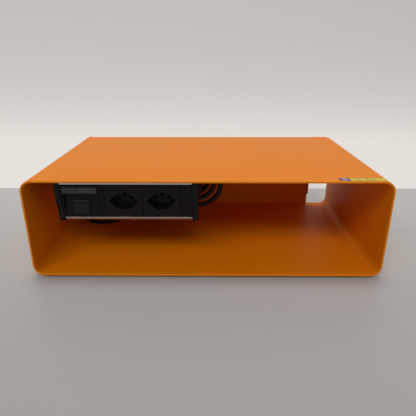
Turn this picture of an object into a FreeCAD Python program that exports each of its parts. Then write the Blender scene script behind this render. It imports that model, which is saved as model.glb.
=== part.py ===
import FreeCAD, Part
import math
import os

from FreeCAD import Vector

os.makedirs("parts", exist_ok=True)

# A desk power station: a bent steel sleeve that stands on a desk and carries a
# power and data module under its top, at the left front.
# Frame: millimetres, origin on the desk under the middle of the sleeve,
# +X to the user's right, +Y to the rear, +Z up.

# Sleeve, driving sizes
SLEEVE_W = 480.0
SLEEVE_H = 137.0
DEPTH = 288.0
SHEET = 2.5
CORNER_R = 15.0
FOOT_H = 3.0
PANEL_T = 1.5
LIP_H = 19.7
BEND_R = 1.5
GAP_X = 199.3
LIP_LEFT_X = -222.0
RELIEF_W = 2.0

HALF_W = SLEEVE_W / 2
FRONT_Y = -DEPTH / 2
BACK_Y = DEPTH / 2
SHEET_BACK_Y = BACK_Y - PANEL_T
FLOOR_Z = FOOT_H + SHEET
TOP_Z = FOOT_H + SLEEVE_H
UNDER_Z = TOP_Z - SHEET

# Rear panel and its fixings
PANEL_LEFT_X = -236.0
PANEL_EDGE_GAP = 3.5
FLANGE_D = 10.0
FLANGE_END_GAP = 1.5
SCREW_X = (-214.0, -77.8, 58.3, 194.5)
SCREW_ABOVE_SHEET = 13.0
SCREW_R = 1.5
SCREW_HEAD_R = 2.8
SCREW_HEAD_H = 1.3
SCREW_SLOT_REACH = 2.0
SCREW_SLOT_DEPTH = 0.6
SCREW_SLOT_HALF = 0.35
PRESS_NUT_R = 3.25
PRESS_NUT_T = 1.2
PRESS_NUT_END_T = 0.5

# Feet and label
FOOT_R = 6.35
FOOT_SIDE = 0.9
FOOT_WEAR = 0.05
FOOT_INSET = 28.0
FRONT_FOOT_INSET = 8.0
LABEL_X = (169.0, 230.0)
LABEL_Y = (-139.7, -129.5)
LABEL_T = 0.15

# Power module: the face leans back at the bottom by LEAN degrees
LEAN = 9.0
FACE_Y = FRONT_Y + 10.0
RAIL_X = (-193.0, -20.0)
RAIL_DROP = (1.7, 58.8)
RAIL_BACK_Y = -84.0
RAIL_WALL = 2.0
STRIP_T = 2.5
SLOT_S = (5.8, 55.0)
CAP_W = 7.5
CAP_DROP = (0.5, 60.9)
CAP_R = 4.0
CAP_PROUD = 1.0
CAP_BACK_PROUD = 1.5
CAP_BOSS = 1.5
BOSS_Y = -97.0
BOSS_Z = (84.0, 130.0)
CAP_SCREW_Y = -92.0
CAP_SCREW_Z = (93.0, 122.0)
CAP_SCREW_R = 1.4
CAP_SCREW_L = 10.0
CAP_SCREW_HEAD_R = 2.7
CAP_SCREW_HEAD_H = 2.4
CAP_SLOT_DEPTH = 0.7
CAP_SLOT_HALF = 0.4
FIT = 0.1

# Inserts, left to right
PITCH = 50.0
SPACER_W = 7.1
DATA_X = RAIL_X[0] + PITCH / 2
SPACER_X = RAIL_X[0] + PITCH + SPACER_W / 2
SOCKET_X = (SPACER_X + SPACER_W / 2 + PITCH / 2, SPACER_X + SPACER_W / 2 + 1.5 * PITCH)
BLANK_W = RAIL_X[1] - SOCKET_X[1] - PITCH / 2
BLANK_X = RAIL_X[1] - BLANK_W / 2
FLANGE_S = (4.9, 57.0)
FLANGE_T = 2.0
REBATE_DEPTH = 1.0
REBATE_TOP = 1.4
REBATE_LOW = 0.8
GROOVES = 4
GROOVE_STEP = 3.4
GROOVE_HALF_W = 0.5
GROOVE_DEPTH = 0.6
GROOVE_END = 3.0

# Three-pin socket with a hexagonal recess
HEX_W = 39.6
HEX_H = 25.0
HEX_DEEP = 10.0
HEX_WALL = 1.5
HEX_TIP_GROW = 1.3
HEX_SLANT_GROW = 0.35
HEX_S = 30.2
BASE_T = 3.0
PIN_PITCH = 19.0
EARTH_RISE = 5.0
PIN_HOLE_R = 2.4
CONTACT_R = 3.2
CONTACT_L = 14.0
WIRE_R = 1.1
HOUSING_HALF_W = 23.4
HOUSING_S = (12.5, 48.5)
HOUSING_BACK = 33.0
HOUSING_T = 1.4
PASSAGE_DEPTH = 4.4
PASSAGE_EDGE = 2.0
LUG_HALF_W = 2.0

# Wiring behind the sockets
LUG_T = 1.2
WIRE_S = {"line": HEX_S + 4.6, "neutral": HEX_S + 9.2, "earth": HEX_S - EARTH_RISE - 5.2}
WIRE_DEPTH = HEX_DEEP + BASE_T + CONTACT_L + LUG_T
TERMINAL_X = (-37.0, -24.0)
TERMINAL_DEPTH = (19.0, WIRE_DEPTH + WIRE_R * 2)
TERMINAL_S = (16.0, 44.0)
TERMINAL_HOLE_R = 2.0
TERMINAL_HOLE_DEPTH = 4.0
WIRE_START = 3.0

# Hanging brackets, between the rail and studs welded under the top
BRACKET_X = (-160.0, -62.0)
BRACKET_HALF_W = 10.0
BRACKET_T = 2.0
BRACKET_END_Y = -60.0
BRACKET_LOW_Z = 114.0
BRACKET_SCREW_Z = 124.0
BRACKET_SCREW_DX = 5.5
BRACKET_SCREW_R = 1.5
BRACKET_SCREW_L = 5.0
BRACKET_HEAD_R = 2.9
BRACKET_HEAD_H = 2.1
STUD_Y = -70.0
STUD_R = 2.0
STUD_L = 8.0
NUT_R = 4.04
NUT_T = 3.2

# Data outlet
WINDOW_S = (10.2, 18.8)
WINDOW_HALF_W = 22.6
WINDOW_T = 1.2
CARD_T = 0.3
POCKET_S = (20.4, 53.2)
POCKET_HALF_W = 22.4
POCKET_WALL = 1.2
POCKET_LOW_WALL = 0.4
EAR_GAP = 0.4
EAR_W = 2.2
EAR_HALF_H = 1.6
EAR_PROUD = 0.7
OUTLET_X = DATA_X - 1.0
OUTLET_Y = -124.8
OUTLET_T = 2.0
FLAP_HALF_W = 10.5
FLAP_DROP = (32.2, 48.7)
FLAP_T = 1.4
HINGE_DROP = 30.4
HINGE_Y = OUTLET_Y - 0.8
BARREL_R = 1.4
FLAP_PIN_R = 0.7
FLAP_BORE_R = 0.75
GRIP_HALF_W = 6.0
GRIP_PROUD = 0.8
GRIP_ABOVE_EDGE = (1.2, 2.4)
FLAP_GROOVE_HALF_W = 8.5
FLAP_GROOVE_DEPTH = 0.4
FLAP_GROOVE_DROP = (34.2, 34.9)
SPRING_R = 1.25
SPRING_LEG_R = 0.25
SPRING_LEG_RISE = 1.0
SPRING_LEG_L = 0.6
PORT_W = 11.8
PORT_DROP = (36.0, 45.4)
PORT_DEEP = 14.0
JACK_HALF_W = 8.2
JACK_DROP = (31.5, 49.5)
JACK_BACK_Y = -100.0
JACK_PINS = 8
JACK_PIN_STEP = 1.02
JACK_PIN_HALF_W = 0.2
JACK_PIN_H = 0.9
JACK_PIN_SETBACK = 2.0
CATCH_HALF_W = 3.1
CATCH_H = 1.6
CATCH_SHORT = 3.0
SPRING_ROOM = 4.0

# Mains cord
CORD_R = 3.9
CORD_X = -31.0
CORD_Z = 112.0
RELIEF_END_Y = -62.0
THROAT_R = 4.7
RELIEF_FLANGE_R = 7.2
RELIEF_FLANGE_T = 3.0
RELIEF_ROOT_R = 6.2
RELIEF_END_WALL = 0.7
CLAMP_Y = (-93.5, RAIL_BACK_Y - RAIL_WALL)
CLAMP_HALF_W = 9.2
CLAMP_HALF_H = 6.0
CLAMP_SCREW_DX = 6.6
CLAMP_SCREW_R = 1.2
CLAMP_SCREW_TIP_Y = RAIL_BACK_Y - 0.2
CLAMP_HEAD_R = 2.2
CLAMP_HEAD_H = 1.8
STUB_END_Y = CLAMP_Y[0] - 0.4
CORE_R = 0.8
CORE_PLACES = ((-1.6, 0.9), (1.6, 0.9), (0.0, -1.7))
HANK_Y = -1.0
HANK_HALF_T = 19.6
HANK_Z = 92.6
HANK_OUT_R = 38.4
HANK_OUT_X = (-80.0, -13.0)
HANK_IN_R = 22.5
HANK_IN_X = (-82.0, -41.0)
HANK_IN_Z = 98.5
TIE_X = -52.0
TIE_HALF_Y = 7.9
TIE_Z = (115.3, 131.1)
STRAP_HALF_W = 2.4
STRAP_T = 1.2
NECK_HALF_W = 9.0
NECK_GAP = 1.5
NECK_ROOM_LOW = 8.0
LOCK_Y = (-3.0, 2.5)
LOCK_H = 3.8
LOCK_EXTRA_W = 0.9
STRAP_IN_BASE = 0.9
TIE_BASE_HALF = 14.0
TIE_BASE_HALF_Y = 10.0
LEAD_ROUTE = [
    (-31.0, -62.0, 112.0),
    (-31.0, -49.0, 112.0),
    (-36.0, -33.8, 113.4),
    (-46.4, -22.6, 116.2),
    (-60.8, -17.2, 119.6),
    (-76.2, -15.8, 123.4),
]
TAIL_ROUTE = [
    (-35.0, 13.4, 126.6),
    (-54.5, 17.4, 126.6),
    (-72.0, 21.4, 117.0),
    (-82.3, 23.4, 99.3),
    (-82.5, 23.9, 79.0),
    (-82.2, 23.1, 59.5),
    (-83.0, 22.9, 40.5),
    (-88.2, 33.2, 20.0),
    (-100.3, 55.0, 9.9),
    (-125.1, 65.4, 9.4),
    (-150.5, 59.0, 9.4),
    (-166.0, 38.0, 9.4),
    (-184.5, 29.3, 9.4),
    (-208.0, 34.4, 9.4),
    (-224.0, 53.2, 9.8),
    (-227.0, 82.0, 10.6),
    (-216.6, 107.0, 9.8),
    (-193.0, 118.5, 9.8),
    (-166.0, 114.7, 13.05),
    (-141.0, 108.05, 13.05),
]

# Plug on the cord's end
PLUG_L = 38.0
PLUG_H = 15.0
PLUG_W = 34.0
PLUG_PIN_R = 2.0
PLUG_PIN_L = 19.0
PLUG_TURN = -14.9
PLUG_NECK_L = 14.0
PLUG_NECK_R = 7.0
PLUG_EARTH_RISE = EARTH_RISE - 1.0


def save(name, shape):
    """Writes one node."""
    shape.exportStep("parts/" + name + ".step")


def block(x0, x1, y0, y1, z0, z1):
    """A box between two corners."""
    return Part.makeBox(x1 - x0, y1 - y0, z1 - z0, Vector(x0, y0, z0))


def prism_x(points, x0, x1):
    """A prism along X over (y, z) points."""
    ring = [Vector(x0, y, z) for y, z in points]
    face = Part.Face(Part.makePolygon(ring + ring[:1]))
    return face.extrude(Vector(x1 - x0, 0, 0))


def rod(radius, start, end):
    """A round bar between two points."""
    run = Vector(*end) - Vector(*start)
    return Part.makeCylinder(radius, run.Length, Vector(*start), run)


def group(solids):
    """Separate solids as one node."""
    return Part.makeCompound(solids)


def fuse(shapes):
    """One body from overlapping or touching shapes."""
    whole = shapes[0].multiFuse(shapes[1:]) if len(shapes) > 1 else shapes[0]
    return whole.removeSplitter()


def lean(shape):
    """From the module's upright working frame to its leaning place."""
    turned = shape.copy()
    turned.rotate(Vector(0, FACE_Y, UNDER_Z), Vector(1, 0, 0), LEAN)
    return turned


def at(x, depth, s):
    """A point of the working frame: depth behind the face, s down it."""
    return (x, FACE_Y + depth, UNDER_Z - s)


def plate(x0, x1, depth0, depth1, s0, s1):
    """A box in the working frame."""
    return block(x0, x1, FACE_Y + depth0, FACE_Y + depth1, UNDER_Z - s1, UNDER_Z - s0)


def face_y(drop):
    """Y of the leaning face at a drop below the top sheet."""
    return FACE_Y + math.tan(math.radians(LEAN)) * drop


def rounded_tube(half_w, z0, z1, radius, y0, y1):
    """A solid bar along Y with a rounded rectangular section."""
    bar = block(-half_w, half_w, y0, y1, z0, z1)
    edges = [e for e in bar.Edges if abs(e.Length - (y1 - y0)) < 1e-6]
    return bar.makeFillet(radius, edges)


def lip(x0, x1, z_sheet, up):
    """A bent lip at the rear edge, rising (up=1) or hanging (up=-1)."""
    outer = BEND_R + SHEET
    centre_y = SHEET_BACK_Y - outer
    centre_z = z_sheet + up * BEND_R
    bend = Part.makeCylinder(outer, x1 - x0, Vector(x0, centre_y, centre_z), Vector(1, 0, 0))
    bend = bend.cut(Part.makeCylinder(BEND_R, x1 - x0, Vector(x0, centre_y, centre_z), Vector(1, 0, 0)))
    low = min(centre_z, centre_z - up * (outer + 1))
    quarter = block(x0, x1, centre_y, SHEET_BACK_Y + 1, low, low + outer + 1)
    bend = bend.common(quarter)
    end_z = z_sheet + up * LIP_H
    wall = block(x0, x1, SHEET_BACK_Y - SHEET, SHEET_BACK_Y, min(centre_z, end_z), max(centre_z, end_z))
    return [bend, wall]


def fixing_places():
    """X and Z of the panel screws, in the lower and the upper lip."""
    rows = (FLOOR_Z + SCREW_ABOVE_SHEET, UNDER_Z - SCREW_ABOVE_SHEET)
    return [(x, z) for z in rows for x in SCREW_X]


def make_sleeve():
    outer = rounded_tube(HALF_W, FOOT_H, TOP_Z, CORNER_R, FRONT_Y, SHEET_BACK_Y)
    inner = rounded_tube(
        HALF_W - SHEET, FLOOR_Z, UNDER_Z, CORNER_R - SHEET, FRONT_Y - 1, SHEET_BACK_Y + 1
    )
    shell = outer.cut(inner)
    fold_y = SHEET_BACK_Y - BEND_R - SHEET
    for z0, z1 in ((FOOT_H - 1, FLOOR_Z + 0.5), (UNDER_Z - 0.5, TOP_Z + 1)):
        shell = shell.cut(
            block(LIP_LEFT_X - RELIEF_W, GAP_X + RELIEF_W, fold_y, SHEET_BACK_Y + 1, z0, z1)
        )
    lips = lip(LIP_LEFT_X, GAP_X, FLOOR_Z, 1) + lip(LIP_LEFT_X, GAP_X, UNDER_Z, -1)
    shell = fuse([shell] + lips)
    for x, z in fixing_places():
        shell = shell.cut(rod(SCREW_R, (x, SHEET_BACK_Y - 5, z), (x, SHEET_BACK_Y + 1, z)))
    save("sleeve", shell)


def make_rear_panel():
    z0 = FOOT_H + PANEL_EDGE_GAP
    z1 = TOP_Z - PANEL_EDGE_GAP
    panel = block(PANEL_LEFT_X, GAP_X, SHEET_BACK_Y, BACK_Y, z0, z1)
    flange = block(
        GAP_X - PANEL_T,
        GAP_X,
        SHEET_BACK_Y - FLANGE_D,
        SHEET_BACK_Y,
        FLOOR_Z + LIP_H + FLANGE_END_GAP,
        UNDER_Z - LIP_H - FLANGE_END_GAP,
    )
    panel = fuse([panel, flange])
    screws = []
    nuts = []
    for x, z in fixing_places():
        head = Part.makeCone(
            SCREW_R, SCREW_HEAD_R, SCREW_HEAD_H, Vector(x, BACK_Y - SCREW_HEAD_H, z), Vector(0, 1, 0)
        )
        tip_y = SHEET_BACK_Y - SHEET - PRESS_NUT_T + PRESS_NUT_END_T
        shank = rod(SCREW_R, (x, tip_y, z), (x, BACK_Y - SCREW_HEAD_H, z))
        screw = fuse([head, shank])
        panel = panel.cut(screw)
        slot = block(
            x - SCREW_SLOT_REACH, x + SCREW_SLOT_REACH, BACK_Y - SCREW_SLOT_DEPTH, BACK_Y + 1,
            z - SCREW_SLOT_HALF, z + SCREW_SLOT_HALF,
        )
        screws.append(screw.cut(slot))
        nut_y = SHEET_BACK_Y - SHEET
        nut = rod(PRESS_NUT_R, (x, nut_y - PRESS_NUT_T, z), (x, nut_y, z))
        nuts.append(nut.cut(shank))
    save("rear_panel", panel)
    save("rear_panel_screws", group(screws))
    save("rear_panel_nuts", group(nuts))


def make_foot(x, y):
    """A domed bumper: a cap of a sphere on a short round side."""
    rise = FOOT_H - FOOT_SIDE
    ball_r = (FOOT_R**2 + rise**2) / (2 * rise)
    ball = Part.makeSphere(ball_r, Vector(x, y, ball_r - FOOT_WEAR))
    return Part.makeCylinder(FOOT_R, FOOT_H, Vector(x, y, 0)).common(ball)


def make_feet():
    x = HALF_W - FOOT_INSET
    y = DEPTH / 2 - FOOT_INSET
    places = {
        "foot_front_left": (-x, -y),
        "foot_front_right": (x, -y),
        "foot_rear_left": (-x, y),
        "foot_rear_right": (x, y),
        "foot_front_centre": (0, FRONT_Y + FRONT_FOOT_INSET),
    }
    for name, (foot_x, foot_y) in places.items():
        save(name, make_foot(foot_x, foot_y))


def make_label():
    """A film on the top that follows the start of the right-hand bend."""
    top = TOP_Z + LABEL_T
    outer = rounded_tube(HALF_W + LABEL_T, FOOT_H - LABEL_T, top, CORNER_R + LABEL_T, *LABEL_Y)
    sleeve = rounded_tube(HALF_W, FOOT_H, TOP_Z, CORNER_R, LABEL_Y[0] - 1, LABEL_Y[1] + 1)
    film = outer.cut(sleeve).common(block(*LABEL_X, *LABEL_Y, UNDER_Z, top + 1))
    save("asset_label", film)


def rail_section(grow, front, x0, x1):
    """The module's trapezoid: walls moved out by grow, the front by front."""
    top = UNDER_Z - RAIL_DROP[0] + grow
    low = UNDER_Z - RAIL_DROP[1] - grow
    back = RAIL_BACK_Y + grow
    points = [
        (face_y(UNDER_Z - top) - front, top),
        (back, top),
        (back, low),
        (face_y(UNDER_Z - low) - front, low),
    ]
    return prism_x(points, x0, x1)


def make_rail():
    outer = rail_section(0, 0, *RAIL_X)
    inner = rail_section(-RAIL_WALL, -STRIP_T / math.cos(math.radians(LEAN)), RAIL_X[0] - 1, RAIL_X[1] + 1)
    slot = lean(plate(RAIL_X[0] - 1, RAIL_X[1] + 1, -2, STRIP_T + 1, *SLOT_S))
    rail = outer.cut(inner).cut(slot)
    rail = rail.cut(rod(THROAT_R, (CORD_X, RAIL_BACK_Y - 5, CORD_Z), (CORD_X, RAIL_BACK_Y + 5, CORD_Z)))
    for x, z in bracket_screw_places():
        hole = rod(BRACKET_SCREW_R, (x, RAIL_BACK_Y - BRACKET_SCREW_L - 1, z), (x, RAIL_BACK_Y + 3, z))
        rail = rail.cut(hole)
    for x in clamp_screw_places():
        hole = rod(CLAMP_SCREW_R, (x, CLAMP_Y[1] - 1, CORD_Z), (x, CLAMP_SCREW_TIP_Y, CORD_Z))
        rail = rail.cut(hole)
    save("rail", rail)


def make_cap(x0, inside):
    """A moulded end: a rounded slab and a boss that enters the rail."""
    x1 = x0 + CAP_W
    top = UNDER_Z - CAP_DROP[0]
    low = UNDER_Z - CAP_DROP[1]
    back = RAIL_BACK_Y + CAP_BACK_PROUD
    proud = CAP_PROUD / math.cos(math.radians(LEAN))
    points = [
        (face_y(UNDER_Z - top) - proud, top),
        (back, top),
        (back, low),
        (face_y(UNDER_Z - low) - proud, low),
    ]
    slab = prism_x(points, x0, x1)
    low_edges = [
        e for e in slab.Edges
        if abs(e.Length - CAP_W) < 1e-6 and abs(e.Vertexes[0].Z - low) < 0.1
    ]
    slab = slab.makeFillet(CAP_R, low_edges)
    boss_x = (x1, x1 + CAP_BOSS) if inside > 0 else (x0 - CAP_BOSS, x0)
    boss = block(*boss_x, BOSS_Y, RAIL_BACK_Y - RAIL_WALL - FIT, *BOSS_Z)
    return fuse([slab, boss])


def make_caps():
    caps = {
        "end_cap_left": make_cap(RAIL_X[0] - CAP_W, 1),
        "end_cap_right": make_cap(RAIL_X[1], -1),
    }
    screws = []
    for name, cap in caps.items():
        outside = RAIL_X[0] - CAP_W if name.endswith("left") else RAIL_X[1] + CAP_W
        inward = 1 if name.endswith("left") else -1
        for z in CAP_SCREW_Z:
            start = (outside, CAP_SCREW_Y, z)
            head = rod(CAP_SCREW_HEAD_R, start, (outside + inward * CAP_SCREW_HEAD_H, CAP_SCREW_Y, z))
            shank = rod(CAP_SCREW_R, start, (outside + inward * CAP_SCREW_L, CAP_SCREW_Y, z))
            screw = fuse([head, shank])
            cap = cap.cut(screw)
            slot = block(
                outside - CAP_SLOT_DEPTH, outside + CAP_SLOT_DEPTH,
                CAP_SCREW_Y - SCREW_SLOT_REACH, CAP_SCREW_Y + SCREW_SLOT_REACH,
                z - CAP_SLOT_HALF, z + CAP_SLOT_HALF,
            )
            screws.append(screw.cut(slot))
        save(name, cap)
    save("end_cap_screws", group(screws))


def insert_plate(x, width):
    """The front plate of an insert, with the flange that the rail holds."""
    half = width / 2 - FIT
    front = plate(x - half, x + half, 0, STRIP_T + FIT, SLOT_S[0] + FIT, SLOT_S[1] - FIT)
    for s0, s1 in ((SLOT_S[0], SLOT_S[0] + REBATE_TOP), (SLOT_S[1] - REBATE_LOW, SLOT_S[1])):
        front = front.cut(plate(x - half - 1, x + half + 1, -1, REBATE_DEPTH, s0, s1))
    flange = plate(x - half, x + half, STRIP_T + FIT, STRIP_T + FIT + FLANGE_T, *FLANGE_S)
    return fuse([front, flange])


def hexagon(x, grow, depth0, depth1):
    """A flat-topped hexagonal prism in the working frame."""
    half_w = HEX_W / 2 + grow * HEX_TIP_GROW
    half_h = HEX_H / 2 + grow
    flat = half_w - HEX_H / 2 - grow * HEX_SLANT_GROW
    outline = [
        (half_w, 0), (flat, half_h), (-flat, half_h), (-half_w, 0), (-flat, -half_h), (flat, -half_h)
    ]
    ring = [Vector(x + dx, FACE_Y + depth0, UNDER_Z - HEX_S + dz) for dx, dz in outline]
    face = Part.Face(Part.makePolygon(ring + ring[:1]))
    return face.extrude(Vector(0, depth1 - depth0, 0))


def pin_places(x):
    """X and s of the line, neutral and earth pin holes."""
    return [
        (x - PIN_PITCH / 2, HEX_S),
        (x + PIN_PITCH / 2, HEX_S),
        (x, HEX_S - EARTH_RISE),
    ]


def make_socket(side, x):
    back = HEX_DEEP + BASE_T
    face = insert_plate(x, PITCH).cut(hexagon(x, 0, -1, 10))
    walls = hexagon(x, HEX_WALL, 0.5, back).cut(hexagon(x, 0, -1, back + 1))
    save("socket_" + side + "_face", lean(fuse([face, walls])))

    base = hexagon(x, -0.02, HEX_DEEP, back)
    contacts = []
    for index, (px, s) in enumerate(pin_places(x)):
        base = base.cut(rod(PIN_HOLE_R, at(px, HEX_DEEP - 1, s), at(px, back + 1, s)))
        sleeve = rod(CONTACT_R, at(px, back, s), at(px, back + CONTACT_L, s))
        sleeve = sleeve.cut(rod(PIN_HOLE_R, at(px, back - 1, s), at(px, back + CONTACT_L - 1, s)))
        wire_s = list(WIRE_S.values())[index]
        lug = plate(
            px - LUG_HALF_W, px + LUG_HALF_W, back + CONTACT_L, back + CONTACT_L + LUG_T,
            min(s, wire_s) - LUG_HALF_W, max(s, wire_s) + LUG_HALF_W,
        )
        contacts.append(fuse([sleeve, lug]))
    save("socket_" + side + "_base", lean(base))
    save("socket_" + side + "_contacts", lean(group(contacts)))

    shell = plate(
        x - HOUSING_HALF_W, x + HOUSING_HALF_W, STRIP_T + FIT + FLANGE_T, HOUSING_BACK, *HOUSING_S
    )
    hollow = plate(
        x - HOUSING_HALF_W + HOUSING_T,
        x + HOUSING_HALF_W - HOUSING_T,
        0,
        HOUSING_BACK - HOUSING_T,
        HOUSING_S[0] + HOUSING_T,
        HOUSING_S[1] - HOUSING_T,
    )
    passage = plate(
        x - PITCH, x + PITCH, WIRE_DEPTH - 1, WIRE_DEPTH - 1 + PASSAGE_DEPTH,
        WIRE_S["earth"] - PASSAGE_EDGE, WIRE_S["neutral"] + PASSAGE_EDGE,
    )
    save("socket_" + side + "_housing", lean(shell.cut(hollow).cut(passage)))


def make_wires():
    """Straight wires behind both sockets, from the terminal block."""
    first = {"line": -PIN_PITCH / 2, "neutral": PIN_PITCH / 2, "earth": 0}
    for name, s in WIRE_S.items():
        start = at(SOCKET_X[0] + first[name] - WIRE_START, WIRE_DEPTH + WIRE_R, s)
        end = at(TERMINAL_X[0], WIRE_DEPTH + WIRE_R, s)
        save(name + "_wire", lean(rod(WIRE_R, start, end)))


def make_terminal_block():
    body = plate(*TERMINAL_X, *TERMINAL_DEPTH, *TERMINAL_S)
    for s in WIRE_S.values():
        screw_x = (TERMINAL_X[0] + TERMINAL_X[1]) / 2
        front = TERMINAL_DEPTH[0]
        hole = rod(
            TERMINAL_HOLE_R, at(screw_x, front - 1, s), at(screw_x, front + TERMINAL_HOLE_DEPTH, s)
        )
        body = body.cut(hole)
    save("terminal_block", lean(body))


def make_data_insert():
    front = lean(insert_plate(DATA_X, PITCH))
    x0 = DATA_X - POCKET_HALF_W
    x1 = DATA_X + POCKET_HALF_W
    tilt = math.cos(math.radians(LEAN))
    top = UNDER_Z - POCKET_S[0] * tilt
    low = UNDER_Z - POCKET_S[1] * tilt
    body_top = top + POCKET_WALL
    body_low = low - POCKET_LOW_WALL
    body = prism_x(
        [
            (face_y(UNDER_Z - top) + 1, body_top),
            (OUTLET_Y + OUTLET_T, body_top),
            (OUTLET_Y + OUTLET_T, body_low),
            (face_y(UNDER_Z - low) + 1, body_low),
        ],
        x0 - POCKET_WALL,
        x1 + POCKET_WALL,
    )
    pocket = prism_x(
        [
            (face_y(UNDER_Z - top) - 3, top),
            (OUTLET_Y, top),
            (OUTLET_Y, low),
            (face_y(UNDER_Z - low) - 3, low),
        ],
        x0,
        x1,
    )
    insert = fuse([front, body]).cut(pocket)
    window = plate(
        DATA_X - WINDOW_HALF_W, DATA_X + WINDOW_HALF_W, 0, WINDOW_T, *WINDOW_S
    )
    card = plate(
        DATA_X - WINDOW_HALF_W, DATA_X + WINDOW_HALF_W, WINDOW_T, WINDOW_T + CARD_T, *WINDOW_S
    )
    insert = insert.cut(lean(fuse([window, card])))
    port = block(
        OUTLET_X - PORT_W / 2, OUTLET_X + PORT_W / 2, OUTLET_Y - 1, OUTLET_Y + OUTLET_T + 1,
        UNDER_Z - PORT_DROP[1], UNDER_Z - PORT_DROP[0],
    )
    insert = insert.cut(port).cut(jack_block())
    hinge_z = UNDER_Z - HINGE_DROP
    ears = []
    for side in (-1, 1):
        inner = FLAP_HALF_W + EAR_GAP
        ear_x = sorted((OUTLET_X + side * inner, OUTLET_X + side * (inner + EAR_W)))
        ear_y = (HINGE_Y - FLAP_PIN_R - EAR_PROUD, OUTLET_Y)
        ears.append(block(*ear_x, *ear_y, hinge_z - EAR_HALF_H, hinge_z + EAR_HALF_H))
    insert = fuse([insert] + ears)
    groove = rod(
        BARREL_R + EAR_GAP,
        (OUTLET_X - FLAP_HALF_W - EAR_GAP, HINGE_Y, hinge_z),
        (OUTLET_X + FLAP_HALF_W + EAR_GAP, HINGE_Y, hinge_z),
    )
    pin = flap_pin()
    save("data_insert", insert.cut(groove).cut(pin))
    save("label_window", lean(window))
    save("label_card", lean(card))
    save("flap_pin", pin)


def flap_pin():
    reach = FLAP_HALF_W + EAR_GAP + EAR_W
    z = UNDER_Z - HINGE_DROP
    return rod(FLAP_PIN_R, (OUTLET_X - reach, HINGE_Y, z), (OUTLET_X + reach, HINGE_Y, z))


def make_dust_flap():
    """The flap hangs from a barrel that turns on the pin."""
    z = UNDER_Z - HINGE_DROP
    barrel_x = (OUTLET_X - FLAP_HALF_W, OUTLET_X + FLAP_HALF_W - SPRING_ROOM)
    barrel = rod(BARREL_R, (barrel_x[0], HINGE_Y, z), (barrel_x[1], HINGE_Y, z))
    front_y = HINGE_Y - FLAP_T / 2
    neck = block(*barrel_x, front_y, front_y + FLAP_T, UNDER_Z - FLAP_DROP[0], z)
    leaf = block(
        OUTLET_X - FLAP_HALF_W, OUTLET_X + FLAP_HALF_W, front_y, front_y + FLAP_T,
        UNDER_Z - FLAP_DROP[1], UNDER_Z - FLAP_DROP[0],
    )
    edge_z = UNDER_Z - FLAP_DROP[1]
    grip = block(
        OUTLET_X - GRIP_HALF_W, OUTLET_X + GRIP_HALF_W, front_y - GRIP_PROUD, front_y,
        edge_z + GRIP_ABOVE_EDGE[0], edge_z + GRIP_ABOVE_EDGE[1],
    )
    groove = block(
        OUTLET_X - FLAP_GROOVE_HALF_W, OUTLET_X + FLAP_GROOVE_HALF_W, front_y - 1, front_y + FLAP_GROOVE_DEPTH,
        UNDER_Z - FLAP_GROOVE_DROP[1], UNDER_Z - FLAP_GROOVE_DROP[0],
    )
    flap = fuse([barrel, neck, leaf, grip]).cut(groove)
    bore = rod(
        FLAP_BORE_R, (OUTLET_X - FLAP_HALF_W - 1, HINGE_Y, z), (OUTLET_X + FLAP_HALF_W + 1, HINGE_Y, z)
    )
    save("dust_flap", flap.cut(bore))

    spring_x = (OUTLET_X + FLAP_HALF_W - SPRING_ROOM + EAR_GAP, OUTLET_X + FLAP_HALF_W)
    coil = rod(SPRING_R, (spring_x[0], HINGE_Y, z), (spring_x[1], HINGE_Y, z))
    leg_x = spring_x[1] - SPRING_LEG_R
    leg_z = z + SPRING_LEG_RISE
    leg = rod(SPRING_LEG_R, (leg_x, HINGE_Y, leg_z), (leg_x, HINGE_Y + SPRING_LEG_L, leg_z))
    spring = fuse([coil, leg]).cut(flap_pin())
    save("flap_spring", spring)


def jack_block():
    return block(
        OUTLET_X - JACK_HALF_W, OUTLET_X + JACK_HALF_W, OUTLET_Y + OUTLET_T, JACK_BACK_Y,
        UNDER_Z - JACK_DROP[1], UNDER_Z - JACK_DROP[0],
    )


def make_data_jack():
    y0 = OUTLET_Y + OUTLET_T
    body = jack_block()
    port = block(
        OUTLET_X - PORT_W / 2, OUTLET_X + PORT_W / 2, y0 - 1, y0 + PORT_DEEP - OUTLET_T,
        UNDER_Z - PORT_DROP[1], UNDER_Z - PORT_DROP[0],
    )
    catch = block(
        OUTLET_X - CATCH_HALF_W, OUTLET_X + CATCH_HALF_W, y0 - 1, y0 + PORT_DEEP - OUTLET_T - CATCH_SHORT,
        UNDER_Z - PORT_DROP[1] - CATCH_H, UNDER_Z - PORT_DROP[1] + 0.1,
    )
    save("data_jack", body.cut(port).cut(catch))
    contacts = []
    pin_y = (y0 + JACK_PIN_SETBACK, y0 + PORT_DEEP - OUTLET_T)
    pin_z = (UNDER_Z - PORT_DROP[0] - JACK_PIN_H, UNDER_Z - PORT_DROP[0])
    for index in range(JACK_PINS):
        x = OUTLET_X + (index - (JACK_PINS - 1) / 2) * JACK_PIN_STEP
        contacts.append(block(x - JACK_PIN_HALF_W, x + JACK_PIN_HALF_W, *pin_y, *pin_z))
    save("data_jack_contacts", group(contacts))


def make_fillers():
    save("spacer_strip", lean(insert_plate(SPACER_X, SPACER_W)))
    blank = insert_plate(BLANK_X, BLANK_W)
    groove_s = (SLOT_S[0] + GROOVE_END, SLOT_S[1] - GROOVE_END)
    for index in range(GROOVES):
        x = BLANK_X + (index - (GROOVES - 1) / 2) * GROOVE_STEP
        blank = blank.cut(plate(x - GROOVE_HALF_W, x + GROOVE_HALF_W, -1, GROOVE_DEPTH, *groove_s))
    save("blank_cover", lean(blank))


def bracket_screw_places():
    return [(x + dx, BRACKET_SCREW_Z) for x in BRACKET_X for dx in (-BRACKET_SCREW_DX, BRACKET_SCREW_DX)]


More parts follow.
